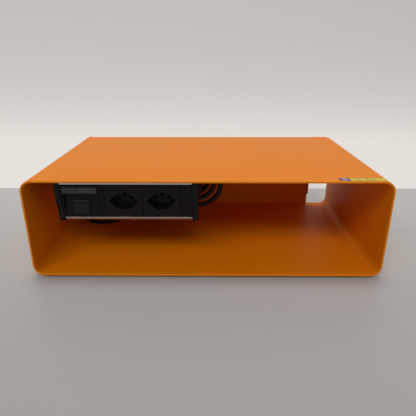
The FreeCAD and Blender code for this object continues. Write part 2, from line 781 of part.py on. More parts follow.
def make_hangers():
    """Angle brackets that hang the rail from studs welded under the top."""
    for side, x in zip(("left", "right"), BRACKET_X):
        x0 = x - BRACKET_HALF_W
        x1 = x + BRACKET_HALF_W
        flat = block(x0, x1, RAIL_BACK_Y, BRACKET_END_Y, UNDER_Z - BRACKET_T, UNDER_Z)
        upright = block(x0, x1, RAIL_BACK_Y, RAIL_BACK_Y + BRACKET_T, BRACKET_LOW_Z, UNDER_Z)
        bracket = fuse([flat, upright])
        bracket = bracket.cut(rod(STUD_R, (x, STUD_Y, UNDER_Z - 5), (x, STUD_Y, UNDER_Z + 1)))
        for screw_x, z in bracket_screw_places():
            through = (screw_x, RAIL_BACK_Y + BRACKET_T + 1, z)
            bracket = bracket.cut(rod(BRACKET_SCREW_R, (screw_x, RAIL_BACK_Y - 1, z), through))
        save("hanger_bracket_" + side, bracket)

    screws = []
    head_y = RAIL_BACK_Y + BRACKET_T
    for x, z in bracket_screw_places():
        shank = rod(BRACKET_SCREW_R, (x, RAIL_BACK_Y - BRACKET_SCREW_L, z), (x, head_y, z))
        head = rod(BRACKET_HEAD_R, (x, head_y, z), (x, head_y + BRACKET_HEAD_H, z))
        screws.append(fuse([shank, head]))
    save("bracket_screws", group(screws))

    studs = []
    nuts = []
    for x in BRACKET_X:
        stud = rod(STUD_R, (x, STUD_Y, UNDER_Z - STUD_L), (x, STUD_Y, UNDER_Z))
        studs.append(stud)
        ring = [
            Vector(x + NUT_R * math.cos(a), STUD_Y + NUT_R * math.sin(a), UNDER_Z - BRACKET_T - NUT_T)
            for a in [math.radians(60 * k) for k in range(6)]
        ]
        nut = Part.Face(Part.makePolygon(ring + ring[:1])).extrude(Vector(0, 0, NUT_T))
        nuts.append(nut.cut(stud))
    save("weld_studs", group(studs))
    save("stud_nuts", group(nuts))


def clamp_screw_places():
    return (CORD_X - CLAMP_SCREW_DX, CORD_X + CLAMP_SCREW_DX)


def make_cord_entry():
    """Tapered strain relief in the rail's rear wall, with its inner clamp."""
    inside_y = RAIL_BACK_Y - RAIL_WALL
    root_y = RAIL_BACK_Y + RELIEF_FLANGE_T
    outside = [
        (inside_y, THROAT_R), (RAIL_BACK_Y, THROAT_R), (RAIL_BACK_Y, RELIEF_FLANGE_R),
        (root_y, RELIEF_FLANGE_R), (root_y, RELIEF_ROOT_R), (RELIEF_END_Y, CORD_R + RELIEF_END_WALL),
    ]
    ring = [Vector(CORD_X, inside_y, CORD_Z)]
    ring += [Vector(CORD_X, y, CORD_Z + r) for y, r in outside]
    ring += [Vector(CORD_X, RELIEF_END_Y, CORD_Z)]
    face = Part.Face(Part.makePolygon(ring + ring[:1]))
    relief = face.revolve(Vector(CORD_X, 0, CORD_Z), Vector(0, 1, 0), 360)
    stub = rod(CORD_R, (CORD_X, STUB_END_Y, CORD_Z), (CORD_X, inside_y, CORD_Z))
    save("strain_relief", fuse([relief, stub]))

    clamp = block(
        CORD_X - CLAMP_HALF_W, CORD_X + CLAMP_HALF_W, *CLAMP_Y, CORD_Z - CLAMP_HALF_H, CORD_Z + CLAMP_HALF_H
    )
    clamp = clamp.cut(rod(CORD_R, (CORD_X, CLAMP_Y[0] - 1, CORD_Z), (CORD_X, CLAMP_Y[1] + 1, CORD_Z)))
    screws = []
    for x in clamp_screw_places():
        shank = rod(CLAMP_SCREW_R, (x, CLAMP_Y[0], CORD_Z), (x, CLAMP_SCREW_TIP_Y, CORD_Z))
        head = rod(CLAMP_HEAD_R, (x, CLAMP_Y[0] - CLAMP_HEAD_H, CORD_Z), (x, CLAMP_Y[0], CORD_Z))
        screw = fuse([shank, head])
        clamp = clamp.cut(screw)
        screws.append(screw)
    save("cord_clamp", clamp)
    save("clamp_screws", group(screws))

    cores = []
    middle_x = (TERMINAL_X[0] + TERMINAL_X[1]) / 2
    for (x, dz), s in zip(CORE_PLACES, WIRE_S.values()):
        end = lean(Part.Vertex(*at(middle_x + x, TERMINAL_DEPTH[1] + CORE_R, s))).Point
        start = (CORD_X + x, STUB_END_Y - CORE_R, CORD_Z + dz)
        cores.append(rod(CORE_R, start, (end.x, end.y, end.z)))
    save("cord_cores", group(cores))


def bend_radius(a, b, c):
    """The largest tangent arc at b that its two runs allow, and its turn."""
    into = b - a
    out = c - b
    turn = into.getAngle(out)
    return 0.45 * min(into.Length, out.Length) / math.tan(turn / 2), turn


def cord_tube(name, route):
    """A round tube along straight runs joined by tangent arcs."""
    points = [Vector(*p) for p in route]
    edges = []
    here = points[0]
    for a, b, c in zip(points, points[1:], points[2:]):
        radius, turn = bend_radius(a, b, c)
        into = (b - a).normalize()
        out = (c - b).normalize()
        cut = radius * math.tan(turn / 2)
        start = b - into * cut
        end = b + out * cut
        inward = (out - into).normalize()
        middle = b + inward * (radius / math.cos(turn / 2) - radius)
        edges.append(Part.LineSegment(here, start).toShape())
        edges.append(Part.Arc(start, middle, end).toShape())
        here = end
        print(name, "turn %.0f deg, radius %.1f mm" % (math.degrees(turn), radius))
    edges.append(Part.LineSegment(here, points[-1]).toShape())
    path = Part.Wire(edges)
    ring = Part.makeCircle(CORD_R, points[0], points[1] - points[0])
    tube = path.makePipeShell([Part.Wire([ring])], True, False)
    expected = math.pi * CORD_R**2 * path.Length
    print(name, "length %.1f mm, volume ratio %.4f" % (path.Length, tube.Volume / expected))
    return tube


def racetrack(x0, x1, z, radius, half_t):
    """A solid oval slab in the XZ plane around HANK_Y."""
    y0 = HANK_Y - half_t
    ends = [
        Part.makeCylinder(radius, 2 * half_t, Vector(x, y0, z), Vector(0, 1, 0)) for x in (x0, x1)
    ]
    middle = block(x0, x1, y0, HANK_Y + half_t, z - radius, z + radius)
    return fuse(ends + [middle])


def make_cord():
    hank = racetrack(*HANK_OUT_X, HANK_Z, HANK_OUT_R, HANK_HALF_T)
    hank = hank.cut(racetrack(*HANK_IN_X, HANK_IN_Z, HANK_IN_R, HANK_HALF_T + 1))
    neck_room = block(
        TIE_X - STRAP_HALF_W - NECK_GAP, TIE_X + STRAP_HALF_W + NECK_GAP,
        HANK_Y - HANK_HALF_T - 1, HANK_Y + HANK_HALF_T + 1, TIE_Z[0] - NECK_ROOM_LOW, TOP_Z,
    )
    neck = block(
        TIE_X - NECK_HALF_W, TIE_X + NECK_HALF_W,
        HANK_Y - TIE_HALF_Y, HANK_Y + TIE_HALF_Y, TIE_Z[0], TIE_Z[1] - FIT,
    )
    hank = fuse([hank.cut(neck_room), neck])
    save("cord_hank", hank)
    save("cord_lead", cord_tube("cord_lead", LEAD_ROUTE))
    save("cord_tail", cord_tube("cord_tail", TAIL_ROUTE))


def make_tie():
    """A cable tie through a self-adhesive base under the top."""
    x0 = TIE_X - STRAP_HALF_W
    x1 = TIE_X + STRAP_HALF_W
    room = block(
        x0, x1, HANK_Y - TIE_HALF_Y, HANK_Y + TIE_HALF_Y, TIE_Z[0], TIE_Z[1] + STRAP_IN_BASE
    )
    band = block(
        x0,
        x1,
        HANK_Y - TIE_HALF_Y - STRAP_T,
        HANK_Y + TIE_HALF_Y + STRAP_T,
        TIE_Z[0] - STRAP_T,
        TIE_Z[1] + STRAP_IN_BASE + STRAP_T,
    )
    lock_top = TIE_Z[0] - STRAP_T
    lock = block(
        x0 - LOCK_EXTRA_W, x1 + LOCK_EXTRA_W,
        HANK_Y + LOCK_Y[0], HANK_Y + LOCK_Y[1], lock_top - LOCK_H, lock_top,
    )
    strap = fuse([band.cut(room), lock])
    base = block(
        TIE_X - TIE_BASE_HALF,
        TIE_X + TIE_BASE_HALF,
        HANK_Y - TIE_BASE_HALF_Y,
        HANK_Y + TIE_BASE_HALF_Y,
        TIE_Z[1] + 0.1,
        UNDER_Z,
    )
    base = base.cut(strap)
    save("tie_strap", strap)
    save("tie_base", base)


def make_plug():
    """A flat hexagonal three-pin plug, lying on the sleeve's floor."""
    end = TAIL_ROUTE[-1]
    z0 = FLOOR_Z + 0.05
    mid_z = z0 + PLUG_H / 2
    half = PLUG_W / 2
    slant = PLUG_H / 2
    tip_y = [(-half, mid_z), (-half + slant, mid_z + PLUG_H / 2), (half - slant, mid_z + PLUG_H / 2)]
    tip_y += [(half, mid_z), (half - slant, z0), (-half + slant, z0)]
    body = prism_x([(end[1] + y, z) for y, z in tip_y], end[0] + PLUG_NECK_L, end[0] + PLUG_L)
    neck_start = Vector(end[0], end[1], mid_z)
    neck = Part.makeCone(CORD_R + RELIEF_END_WALL, PLUG_NECK_R, PLUG_NECK_L, neck_start, Vector(1, 0, 0))
    plug = fuse([body, neck])
    pins = []
    for y, z in ((-PIN_PITCH / 2, 0), (PIN_PITCH / 2, 0), (0, PLUG_EARTH_RISE)):
        start = (end[0] + PLUG_L, end[1] + y, mid_z + z)
        tip = (end[0] + PLUG_L + PLUG_PIN_L, end[1] + y, mid_z + z)
        pins.append(rod(PLUG_PIN_R, start, tip))
    pins = group(pins)
    for shape in (plug, pins):
        shape.rotate(Vector(end[0], end[1], 0), Vector(0, 0, 1), PLUG_TURN)
    save("plug_body", plug)
    save("plug_pins", pins)


make_sleeve()
make_rear_panel()
make_feet()
make_label()
make_rail()
make_caps()
make_socket("left", SOCKET_X[0])
make_socket("right", SOCKET_X[1])
make_wires()
make_terminal_block()
make_data_insert()
make_dust_flap()
make_data_jack()
make_fillers()
make_hangers()
make_cord_entry()
make_cord()
make_tie()
make_plug()
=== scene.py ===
import bmesh
import bpy
import math
from mathutils import Matrix, Vector


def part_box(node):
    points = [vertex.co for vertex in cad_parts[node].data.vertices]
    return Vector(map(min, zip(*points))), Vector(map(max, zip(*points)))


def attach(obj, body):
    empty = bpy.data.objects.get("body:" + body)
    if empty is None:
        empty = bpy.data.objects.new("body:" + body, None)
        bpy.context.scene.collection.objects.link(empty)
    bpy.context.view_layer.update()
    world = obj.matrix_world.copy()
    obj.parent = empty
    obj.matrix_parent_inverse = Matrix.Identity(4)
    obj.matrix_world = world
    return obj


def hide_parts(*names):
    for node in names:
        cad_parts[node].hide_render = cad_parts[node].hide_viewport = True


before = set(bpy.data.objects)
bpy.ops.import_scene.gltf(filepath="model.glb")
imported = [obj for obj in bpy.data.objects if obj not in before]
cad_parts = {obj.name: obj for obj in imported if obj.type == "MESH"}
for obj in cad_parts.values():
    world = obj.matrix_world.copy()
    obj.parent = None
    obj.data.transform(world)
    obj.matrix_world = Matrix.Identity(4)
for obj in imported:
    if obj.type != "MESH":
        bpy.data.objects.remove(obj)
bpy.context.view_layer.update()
MM = 0.001


# ---------------------------------------------------------------- viewpoint
# The viewpoint is in front of the sleeve and a little higher than its top, and looks
# down at its middle.
EYE = Vector((0.0038, -0.626, 0.292))
LOOK_DOWN = math.radians(21.3)
LOOK_LEFT = math.radians(0.33)
LENS_MM = 34.6
SENSOR_MM = 36.0

viewpoint = bpy.data.objects.new("viewpoint", bpy.data.cameras.new("viewpoint"))
viewpoint.data.lens = LENS_MM
viewpoint.data.sensor_width = SENSOR_MM
viewpoint.data.clip_start = 0.01
viewpoint.location = EYE
viewpoint.rotation_euler = (math.pi / 2 - LOOK_DOWN, 0.0, LOOK_LEFT)
bpy.context.scene.collection.objects.link(viewpoint)
bpy.context.scene.camera = viewpoint
bpy.context.scene.view_settings.view_transform = "Standard"


# ---------------------------------------------------------------- desk, floor and wall
# The desk top is pale grey laminate. Towards its rear edge it is painted lighter, as
# painted light and reflection of the wall. Beyond that the floor is off-white and sweeps
# up, far behind the object, into a wall of the same plaster.
DESK_EDGE_Y = 0.248
DESK_PAINTED_LIGHT_RISE = 1.6
DESK_PAINTED_LIGHT_MIDDLE = 0.62
FLOOR_REACH = 4.0
WALL_Y = 1.5
WALL_H = 2.5
SWEEP_R = 0.6
SWEEP_STEPS = 16


class Signal:
    """A socket of a material, so that shader maths is written as arithmetic."""

    def __init__(self, finish, socket):
        self.finish = finish
        self.socket = socket

    def math(self, operation, first, second=0.0):
        return self.finish.node("ShaderNodeMath", {"operation": operation}, {0: first, 1: second})

    def __add__(self, other):
        return self.math("ADD", self, other)

    __radd__ = __add__

    def __mul__(self, other):
        return self.math("MULTIPLY", self, other)

    __rmul__ = __mul__

    def __gt__(self, other):
        return self.math("GREATER_THAN", self, other)

    def __lt__(self, other):
        return self.math("LESS_THAN", self, other)

    def clamped(self):
        return self.math("MINIMUM", self.math("MAXIMUM", self, 0.0), 1.0)

    def fraction(self):
        return self.math("FRACT", self)


class Finish:
    """One material: its surface shader and the nodes that vary it."""

    def __init__(self, name, **constants):
        self.material = bpy.data.materials.new(name)
        self.material.use_nodes = True
        self.tree = self.material.node_tree
        self.surface = self.tree.nodes["Principled BSDF"]
        for socket, value in constants.items():
            self.surface.inputs[socket.replace("_", " ")].default_value = value
        self.place = self.node("ShaderNodeTexCoord", out="Object")

    def node(self, kind, settings=None, inputs=None, out=0):
        made = self.tree.nodes.new(kind)
        for key, value in (settings or {}).items():
            setattr(made, key, value)
        for key, value in (inputs or {}).items():
            if isinstance(value, Signal):
                self.tree.links.new(value.socket, made.inputs[key])
            else:
                made.inputs[key].default_value = value
        return Signal(self, made.outputs[out])

    def set(self, socket, value):
        self.tree.links.new(value.socket, self.surface.inputs[socket])

    def noise(self, scale, detail=3.0, stretch=(1.0, 1.0, 1.0)):
        """Noise over the piece; scale is in waves per metre."""
        place = self.node(
            "ShaderNodeMapping", {"vector_type": "POINT"}, {"Vector": self.place, "Scale": stretch}
        )
        return self.node(
            "ShaderNodeTexNoise", {}, {"Vector": place, "Scale": scale, "Detail": detail}
        )

    def axis(self, letter):
        """One coordinate of the piece, in metres."""
        return self.node("ShaderNodeSeparateXYZ", {}, {0: self.place}, out=letter)

    def blend(self, factor, first, second):
        """A colour between two colours or signals."""
        return self.node(
            "ShaderNodeMix", {"data_type": "RGBA"}, {0: factor, 6: first, 7: second}, out=2
        )

    def vary(self, colour, spread, scale=60.0):
        """The colour with a soft, small change of shade across the piece."""
        dark = tuple(c * (1.0 - spread) for c in colour) + (1.0,)
        light = tuple(min(1.0, c * (1.0 + spread)) for c in colour) + (1.0,)
        return self.blend(self.noise(scale), dark, light)

    def bump(self, height, distance, strength=1.0):
        self.set(
            "Normal",
            self.node(
                "ShaderNodeBump", {}, {"Height": height, "Distance": distance, "Strength": strength}
            ),
        )


def make_stage(name, bm, finish):
    bmesh.ops.recalc_face_normals(bm, faces=bm.faces)
    mesh = bpy.data.meshes.new(name)
    bm.to_mesh(mesh)
    bm.free()
    mesh.materials.append(finish.material)
    mesh.polygons.foreach_set("use_smooth", [True] * len(mesh.polygons))
    thing = bpy.data.objects.new(name, mesh)
    bpy.context.scene.collection.objects.link(thing)


laminate = Finish("desk_laminate", Roughness=0.38)
# The colour grows lighter towards the rear edge: painted light and reflection of the wall.
laminate.set(
    "Base Color",
    laminate.blend(
        (laminate.axis("Y") * DESK_PAINTED_LIGHT_RISE + DESK_PAINTED_LIGHT_MIDDLE).clamped(),
        laminate.vary((0.37, 0.36, 0.35), 0.02, 9.0),
        laminate.vary((0.52, 0.51, 0.495), 0.02, 9.0),
    ),
)
laminate.bump(laminate.noise(900.0), 0.00005)
plaster = Finish("pale_plaster", Roughness=0.85)
plaster.set("Base Color", plaster.vary((0.85, 0.82, 0.785), 0.015, 3.0))
plaster.bump(plaster.noise(400.0), 0.0001)

desk = bmesh.new()
bmesh.ops.create_grid(desk, x_segments=1, y_segments=1, size=1.0)
bmesh.ops.scale(desk, vec=(FLOOR_REACH, (DESK_EDGE_Y + FLOOR_REACH) / 2, 1.0), verts=desk.verts)
bmesh.ops.translate(desk, vec=(0.0, (DESK_EDGE_Y - FLOOR_REACH) / 2, 0.0), verts=desk.verts)
make_stage("desk_top", desk, laminate)

sweep = bmesh.new()
corners = [sweep.verts.new((x, DESK_EDGE_Y, 0.0)) for x in (-FLOOR_REACH, FLOOR_REACH)]
edge = [sweep.edges.new(corners)]


def push(edges, step):
    """Draws a row of edges out into new faces and returns the new row."""
    grown = bmesh.ops.extrude_edge_only(sweep, edges=edges)["geom"]
    tips = [g for g in grown if isinstance(g, bmesh.types.BMVert)]
    bmesh.ops.translate(sweep, vec=step, verts=tips)
    sides = [g for g in grown if isinstance(g, bmesh.types.BMEdge)]
    return [e for e in sides if abs(e.verts[0].co.x - e.verts[1].co.x) > FLOOR_REACH]


edge = push(edge, (0.0, WALL_Y - SWEEP_R - DESK_EDGE_Y, 0.0))
turned = bmesh.ops.spin(
    sweep, geom=edge, cent=(0.0, WALL_Y - SWEEP_R, SWEEP_R), axis=(1, 0, 0),
    angle=math.pi / 2, steps=SWEEP_STEPS,
)["geom_last"]
push([g for g in turned if isinstance(g, bmesh.types.BMEdge)], (0.0, 0.0, WALL_H))
make_stage("floor_and_wall", sweep, plaster)


# ---------------------------------------------------------------- lights
# Plain soft light: dim light from all round, a soft ceiling light from above and just
# behind, and a long band of windows across the front, a little to the left. Angles are
# in degrees.
ROOM_LIGHT = 0.25
CEILING_LIGHT = 1.25
CEILING_HEIGHT = 95.0
CEILING_SPREAD = 17.0
CEILING_AWAY = 3.0
WINDOWS_WATTS = 150.0
WINDOWS_LEFT = 12.0
WINDOWS_HEIGHT = 42.0
WINDOWS_AWAY = 6.0
WINDOWS_SIZE = (5.5, 1.5)

world = bpy.data.worlds.new("room")
world.use_nodes = True
world.node_tree.nodes["Background"].inputs["Color"].default_value = (0.93, 0.95, 1.0, 1.0)
world.node_tree.nodes["Background"].inputs["Strength"].default_value = ROOM_LIGHT
bpy.context.scene.world = world


def light_from(name, left, height, distance, kind):
    """A light that shines at the sleeve, so many degrees left of the front and up."""
    lamp = bpy.data.lights.new(name, kind)
    lamp.color = (1.0, 0.985, 0.965)
    holder = bpy.data.objects.new(name, lamp)
    turn, rise = math.radians(left), math.radians(height)
    level = math.cos(rise)
    towards = Vector((-math.sin(turn) * level, -math.cos(turn) * level, math.sin(rise)))
    holder.location = towards * distance
    holder.rotation_euler = towards.to_track_quat("Z", "Y").to_euler()
    bpy.context.scene.collection.objects.link(holder)
    return lamp


windows = light_from("window_band", WINDOWS_LEFT, WINDOWS_HEIGHT, WINDOWS_AWAY, "AREA")
windows.shape = "RECTANGLE"
windows.size, windows.size_y = WINDOWS_SIZE
windows.energy = WINDOWS_WATTS
ceiling = light_from("ceiling", 0.0, CEILING_HEIGHT, CEILING_AWAY, "SUN")
ceiling.angle = math.radians(CEILING_SPREAD)
ceiling.energy = CEILING_LIGHT


# ---------------------------------------------------------------- mains cord
# A round three-core lead with a matt black sheath. It leaves the module's rear, is
# wound five times behind it and tied under the top, and its end lies on the sleeve's
# floor. Points of its route are in millimetres.
CORD_D = 0.0078
CORD_EXIT = (-0.031, -0.062, 0.112)
LEAD_ROUTE = [
    (-31.0, -62.0, 112.0),
    (-31.0, -49.0, 112.0),
    (-36.0, -33.8, 113.4),
    (-46.4, -22.6, 116.2),
    (-60.8, -17.2, 119.6),
    (-76.2, -15.8, 123.4),
]
TAIL_ROUTE = [
    (-35.0, 13.4, 126.6),
    (-54.5, 17.4, 126.6),
    (-72.0, 21.4, 117.0),
    (-82.3, 23.4, 99.3),
    (-82.5, 23.9, 79.0),
    (-82.2, 23.1, 59.5),
    (-83.0, 22.9, 40.5),
    (-88.2, 33.2, 20.0),
    (-100.3, 55.0, 9.9),
    (-125.1, 65.4, 9.4),
    (-150.5, 59.0, 9.4),
    (-166.0, 38.0, 9.4),
    (-184.5, 29.3, 9.4),
    (-208.0, 34.4, 9.4),
    (-224.0, 53.2, 9.8),
    (-227.0, 82.0, 10.6),
    (-216.6, 107.0, 9.8),
    (-193.0, 118.5, 9.8),
    (-166.0, 114.7, 13.05),
    (-141.0, 108.05, 13.05),
]
# Each turn of the hank, front to rear: its depth, left and right centres, lowest
# point, and the depth and height at which its top run goes into the tie.
TURNS = [
    {"y": -16.6, "left": -83.0, "right": -39.5, "low": 64.6, "tie": (-4.9, 119.2)},
    {"y": -8.8, "left": -86.0, "right": None, "low": 67.0, "tie": (-4.9, 127.0)},
    {"y": -1.0, "left": -80.0, "right": -14.8, "low": 54.8, "tie": (2.9, 127.0)},
    {"y": 6.8, "left": -82.0, "right": -42.0, "low": 64.6, "tie": (2.9, 119.2)},
    {"y": 14.6, "left": -86.0, "right": -28.0, "low": 68.0, "tie": (13.4, 126.6)},
]
# The second turn hangs loose at its right end.
LOOSE_END = [(-21.0, 67.0), (-7.6, 69.8), (3.2, 77.8), (10.0, 89.0), (12.9, 102.4), (10.2, 116.4)]
LOOSE_END += [(0.4, 126.6), (-13.6, 130.0), (-28.0, 127.6)]
START_OF_TURNS = (-15.8, 125.2)
TIE_RUN_X = (-50.0, -60.0)
# The line runs inside its control points, so those of a half circle lie a little out.
END_STEPS = 6
CONTROL_SWELL = 1.0353
# Where two control points are over LONG_STEP apart, more are put between them.
LONG_STEP = 20.0
FINE_STEP = 17.0


def half_turn(centre_x, low, high, first_angle, y_from, y_to):
    """Control points of a half circle whose ends run straight on into its tangents."""
    radius = (high - low) / 2
    points = []
    for step in range(END_STEPS):
        share = (step + 0.5) / END_STEPS
        angle = first_angle + math.pi * share
        x = centre_x + radius * CONTROL_SWELL * math.cos(angle)
        z = low + radius + radius * CONTROL_SWELL * math.sin(angle)
        points.append((x, y_from + (y_to - y_from) * share, z))
    return points


def even_steps(points):
    """The same line with points added where two lie far apart."""
    filled = points[:1]
    for here, there in zip(points, points[1:]):
        gap = math.dist(here, there)
        count = math.ceil(gap / FINE_STEP) if gap > LONG_STEP else 1
        for step in range(1, count + 1):
            filled.append(tuple(a + (b - a) * step / count for a, b in zip(here, there)))
    return filled


def hank_points():
    """Control points of the hank's turns."""
    points = []
    y_in, z_in = START_OF_TURNS
    for turn in TURNS:
        y_out, z_out = turn["tie"]
        low, left, right = turn["low"], turn["left"], turn["right"]
        points += half_turn(left, low, z_in, math.pi / 2, y_in, turn["y"])
        if right is None:
            for step, (x, z) in enumerate(LOOSE_END):
                share = step / (len(LOOSE_END) - 1)
                points.append((x, turn["y"] + (y_out - turn["y"]) * share, z))
        else:
            points += half_turn(right, low, z_out, -math.pi / 2, turn["y"], y_out)
        if turn is not TURNS[-1]:
            points += [(x, y_out, z_out) for x in TIE_RUN_X]
        y_in, z_in = y_out, z_out
    return even_steps(points)


def make_cord(name, route):
    line = bpy.data.curves.new(name, "CURVE")
    line.dimensions = "3D"
    line.bevel_depth = CORD_D / 2
    line.bevel_resolution = 4
    line.resolution_u = 6
    line.use_fill_caps = True
    spline = line.splines.new("NURBS")
    spline.points.add(len(route) - 1)
    for point, (x, y, z) in zip(spline.points, route):
        point.co = (x * MM, y * MM, z * MM, 1.0)
    spline.order_u = 3
    spline.use_endpoint_u = True
    cord = bpy.data.objects.new(name, line)
    bpy.context.scene.collection.objects.link(cord)
    return cord


mains_cord = make_cord("mains_cord", LEAD_ROUTE + hank_points() + TAIL_ROUTE)
sheath = Finish("cord_sheath", Roughness=0.42, Specular_IOR_Level=0.35)
sheath.set("Base Color", sheath.vary((0.0055, 0.0055, 0.006), 0.25, 90.0))
sheath.bump(sheath.noise(1400.0), 0.00006)
mains_cord.data.materials.append(sheath.material)
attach(mains_cord, "housing")
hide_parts("cord_lead", "cord_hank", "cord_tail")


# ---------------------------------------------------------------- sleeve
# The body is one strip of 2.5 mm steel sheet, bent to a flat-sided ring with rounded
# corners. At the rear its top and bottom are folded inwards as lips that carry the
# rear panel. It is powder coated all over in satin orange.
sleeve_low, sleeve_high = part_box("sleeve")
SHEET = 2.5 * MM
SLEEVE_CORNER_R = 15.0 * MM
SLEEVE_CORNER_STEPS = 14
LIP_INNER_R = 1.5 * MM
LIP_X = (-0.222, 0.1993)
LIP_RELIEF = 2.0 * MM
LIP_HEIGHT = 19.7 * MM
LIP_STEPS = 6
CUT_EDGE_R = 0.45 * MM


def add_piece(name, bm, finish, body="housing", soften=0.0, replaces=(), smooth=True):
    """Turns a finished bmesh into a piece that rides on its body."""
    mesh = bpy.data.meshes.new(name)
    bm.to_mesh(mesh)
    bm.free()
    mesh.materials.append(finish.material)
    mesh.polygons.foreach_set("use_smooth", [smooth] * len(mesh.polygons))
    piece = bpy.data.objects.new(name, mesh)
    bpy.context.scene.collection.objects.link(piece)
    if soften:
        add_soft_edges(piece, soften)
    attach(piece, body)
    if replaces:
        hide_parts(*replaces)
    return piece


def add_soft_edges(piece, width, steps=2):
    edge = piece.modifiers.new("soft_edges", "BEVEL")
    edge.width = width
    edge.segments = steps
    edge.limit_method = "ANGLE"
    edge.angle_limit = math.radians(32)
    edge.harden_normals = True
    edge.use_clamp_overlap = True


def box_between(bm, low, high):
    """A box from one corner to the other; returns its vertices."""
    made = bmesh.ops.create_cube(bm, size=1.0)["verts"]
    size = Vector(high) - Vector(low)
    bmesh.ops.scale(bm, vec=size, verts=made)
    bmesh.ops.translate(bm, vec=(Vector(low) + Vector(high)) / 2, verts=made)
    return made


def edges_along(bm, direction, verts=None):
    """Edges that run along a direction."""
    keep = set(verts) if verts else set(bm.verts)
    along = Vector(direction).normalized()
    return [
        e for e in bm.edges
        if e.verts[0] in keep and e.verts[1] in keep
        and abs((e.verts[1].co - e.verts[0].co).normalized().dot(along)) > 0.999
    ]


def round_edges(bm, edges, radius, steps):
    bmesh.ops.bevel(
        bm, geom=edges, offset=radius, offset_type="OFFSET", affect="EDGES",
        segments=steps, profile=0.5, material=-1, clamp_overlap=True,
    )


orange_coat = Finish("orange_powder_coat", Roughness=0.42, Specular_IOR_Level=0.13)
orange_coat.set("Base Color", orange_coat.vary((0.80, 0.225, 0.002), 0.018, 14.0))
orange_peel = orange_coat.noise(620.0, 2.0) * 0.7 + orange_coat.noise(2300.0, 2.0) * 0.3
orange_coat.set("Roughness", orange_coat.noise(7.0) * 0.05 + 0.40)
orange_coat.bump(orange_peel, 0.00009, 0.7)


def sheet_shell():
    """The outer skin of the sleeve, open at both ends, with its folded lips."""
    bm = bmesh.new()
    box_between(bm, sleeve_low, sleeve_high)
    round_edges(bm, edges_along(bm, (0, 1, 0)), SLEEVE_CORNER_R, SLEEVE_CORNER_STEPS)
    ends = [f for f in bm.faces if abs(f.normal.y) > 0.9]
    bmesh.ops.delete(bm, geom=ends, context="FACES_ONLY")
    fold_y = sleeve_high.y - LIP_INNER_R - SHEET
    lip_ends = (LIP_X[0] - LIP_RELIEF, LIP_X[0], LIP_X[1], LIP_X[1] + LIP_RELIEF)
    cuts = [((x, 0, 0), (1, 0, 0)) for x in lip_ends]
    cuts.append(((0, fold_y, 0), (0, 1, 0)))
    for place, across in cuts:
        everything = bm.verts[:] + bm.edges[:] + bm.faces[:]
        bmesh.ops.bisect_plane(bm, geom=everything, plane_co=place, plane_no=across, dist=1e-6)
    notch = [
        f for f in bm.faces
        if abs(f.normal.z) > 0.9 and f.calc_center_median().y > fold_y
        and LIP_X[0] - LIP_RELIEF < f.calc_center_median().x < LIP_X[1] + LIP_RELIEF
    ]
    bmesh.ops.delete(bm, geom=notch, context="FACES")
    fold_r = LIP_INNER_R + SHEET
    for z, side in ((sleeve_high.z, 1), (sleeve_low.z, -1)):
        edge = [
            e for e in bm.edges
            if all(
                abs(v.co.y - fold_y) < 1e-5 and abs(v.co.z - z) < 1e-5
                and LIP_X[0] - 1e-5 < v.co.x < LIP_X[1] + 1e-5
                for v in e.verts
            )
        ]
        turned = bmesh.ops.spin(
            bm, geom=edge, cent=(0, fold_y, z - side * fold_r), axis=(-side, 0, 0),
            angle=math.pi / 2, steps=LIP_STEPS,
        )["geom_last"]
        fold_end = [g for g in turned if isinstance(g, bmesh.types.BMEdge)]
        grown = bmesh.ops.extrude_edge_only(bm, edges=fold_end)
        tips = [g for g in grown["geom"] if isinstance(g, bmesh.types.BMVert)]
        drop = LIP_HEIGHT + SHEET - fold_r
        bmesh.ops.translate(bm, vec=(0, 0, -side * drop), verts=tips)
    bmesh.ops.remove_doubles(bm, verts=bm.verts, dist=1e-6)
    bmesh.ops.recalc_face_normals(bm, faces=bm.faces)
    return bm


skin = sheet_shell()
top_face = max(skin.faces, key=lambda f: f.calc_center_median().z + f.calc_area())
if top_face.normal.z < 0:
    bmesh.ops.reverse_faces(skin, faces=skin.faces)
sleeve = add_piece("sleeve_sheet", skin, orange_coat, replaces=["sleeve"])
wall = sleeve.modifiers.new("sheet_thickness", "SOLIDIFY")
wall.thickness = SHEET
wall.offset = -1.0
wall.use_even_offset = True
add_soft_edges(sleeve, CUT_EDGE_R, 3)


# ---------------------------------------------------------------- rear panel
# A flat 1.5 mm steel panel, coated like the sleeve, closes the rear but for a gap at the
# right, where its edge is folded forward. It has eight countersunk holes over the lips.
panel_low, panel_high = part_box("rear_panel")
PANEL_T = 1.5 * MM
PANEL_FLANGE_Z = (26.7 * MM, 116.3 * MM)
SCREW_X = (-0.214, -0.0778, 0.0583, 0.1945)
SCREW_Z = (0.0185, 0.1245)
SINK_R = 3.1 * MM
SINK_DEEP = 1.3 * MM
SHANK_R = 1.5 * MM
HOLE_DEEP = 3.0 * MM
CUT_OVER = 0.3 * MM


def merged_mesh(piece):
    """The piece's mesh with its modifiers worked in."""
    graph = bpy.context.evaluated_depsgraph_get()
    worked = bpy.data.meshes.new_from_object(piece.evaluated_get(graph))
    piece.modifiers.clear()
    piece.data = worked


def combine(bm, cutter, operation):
    """Adds one closed shape to another, or cuts it out, and returns the result."""
    held = []
    for shape in (bm, cutter):
        mesh = bpy.data.meshes.new("shape")
        shape.to_mesh(mesh)
        shape.free()
        held.append(bpy.data.objects.new("shape", mesh))
        bpy.context.scene.collection.objects.link(held[-1])
    work = held[0].modifiers.new("join", "BOOLEAN")
    work.operation = operation
    work.solver = "EXACT"
    work.object = held[1]
    bpy.context.view_layer.update()
    merged_mesh(held[0])
    result = bmesh.new()
    result.from_mesh(held[0].data)
    for shape in held:
        bpy.data.objects.remove(shape)
    bmesh.ops.remove_doubles(result, verts=result.verts, dist=2e-6)
    return result


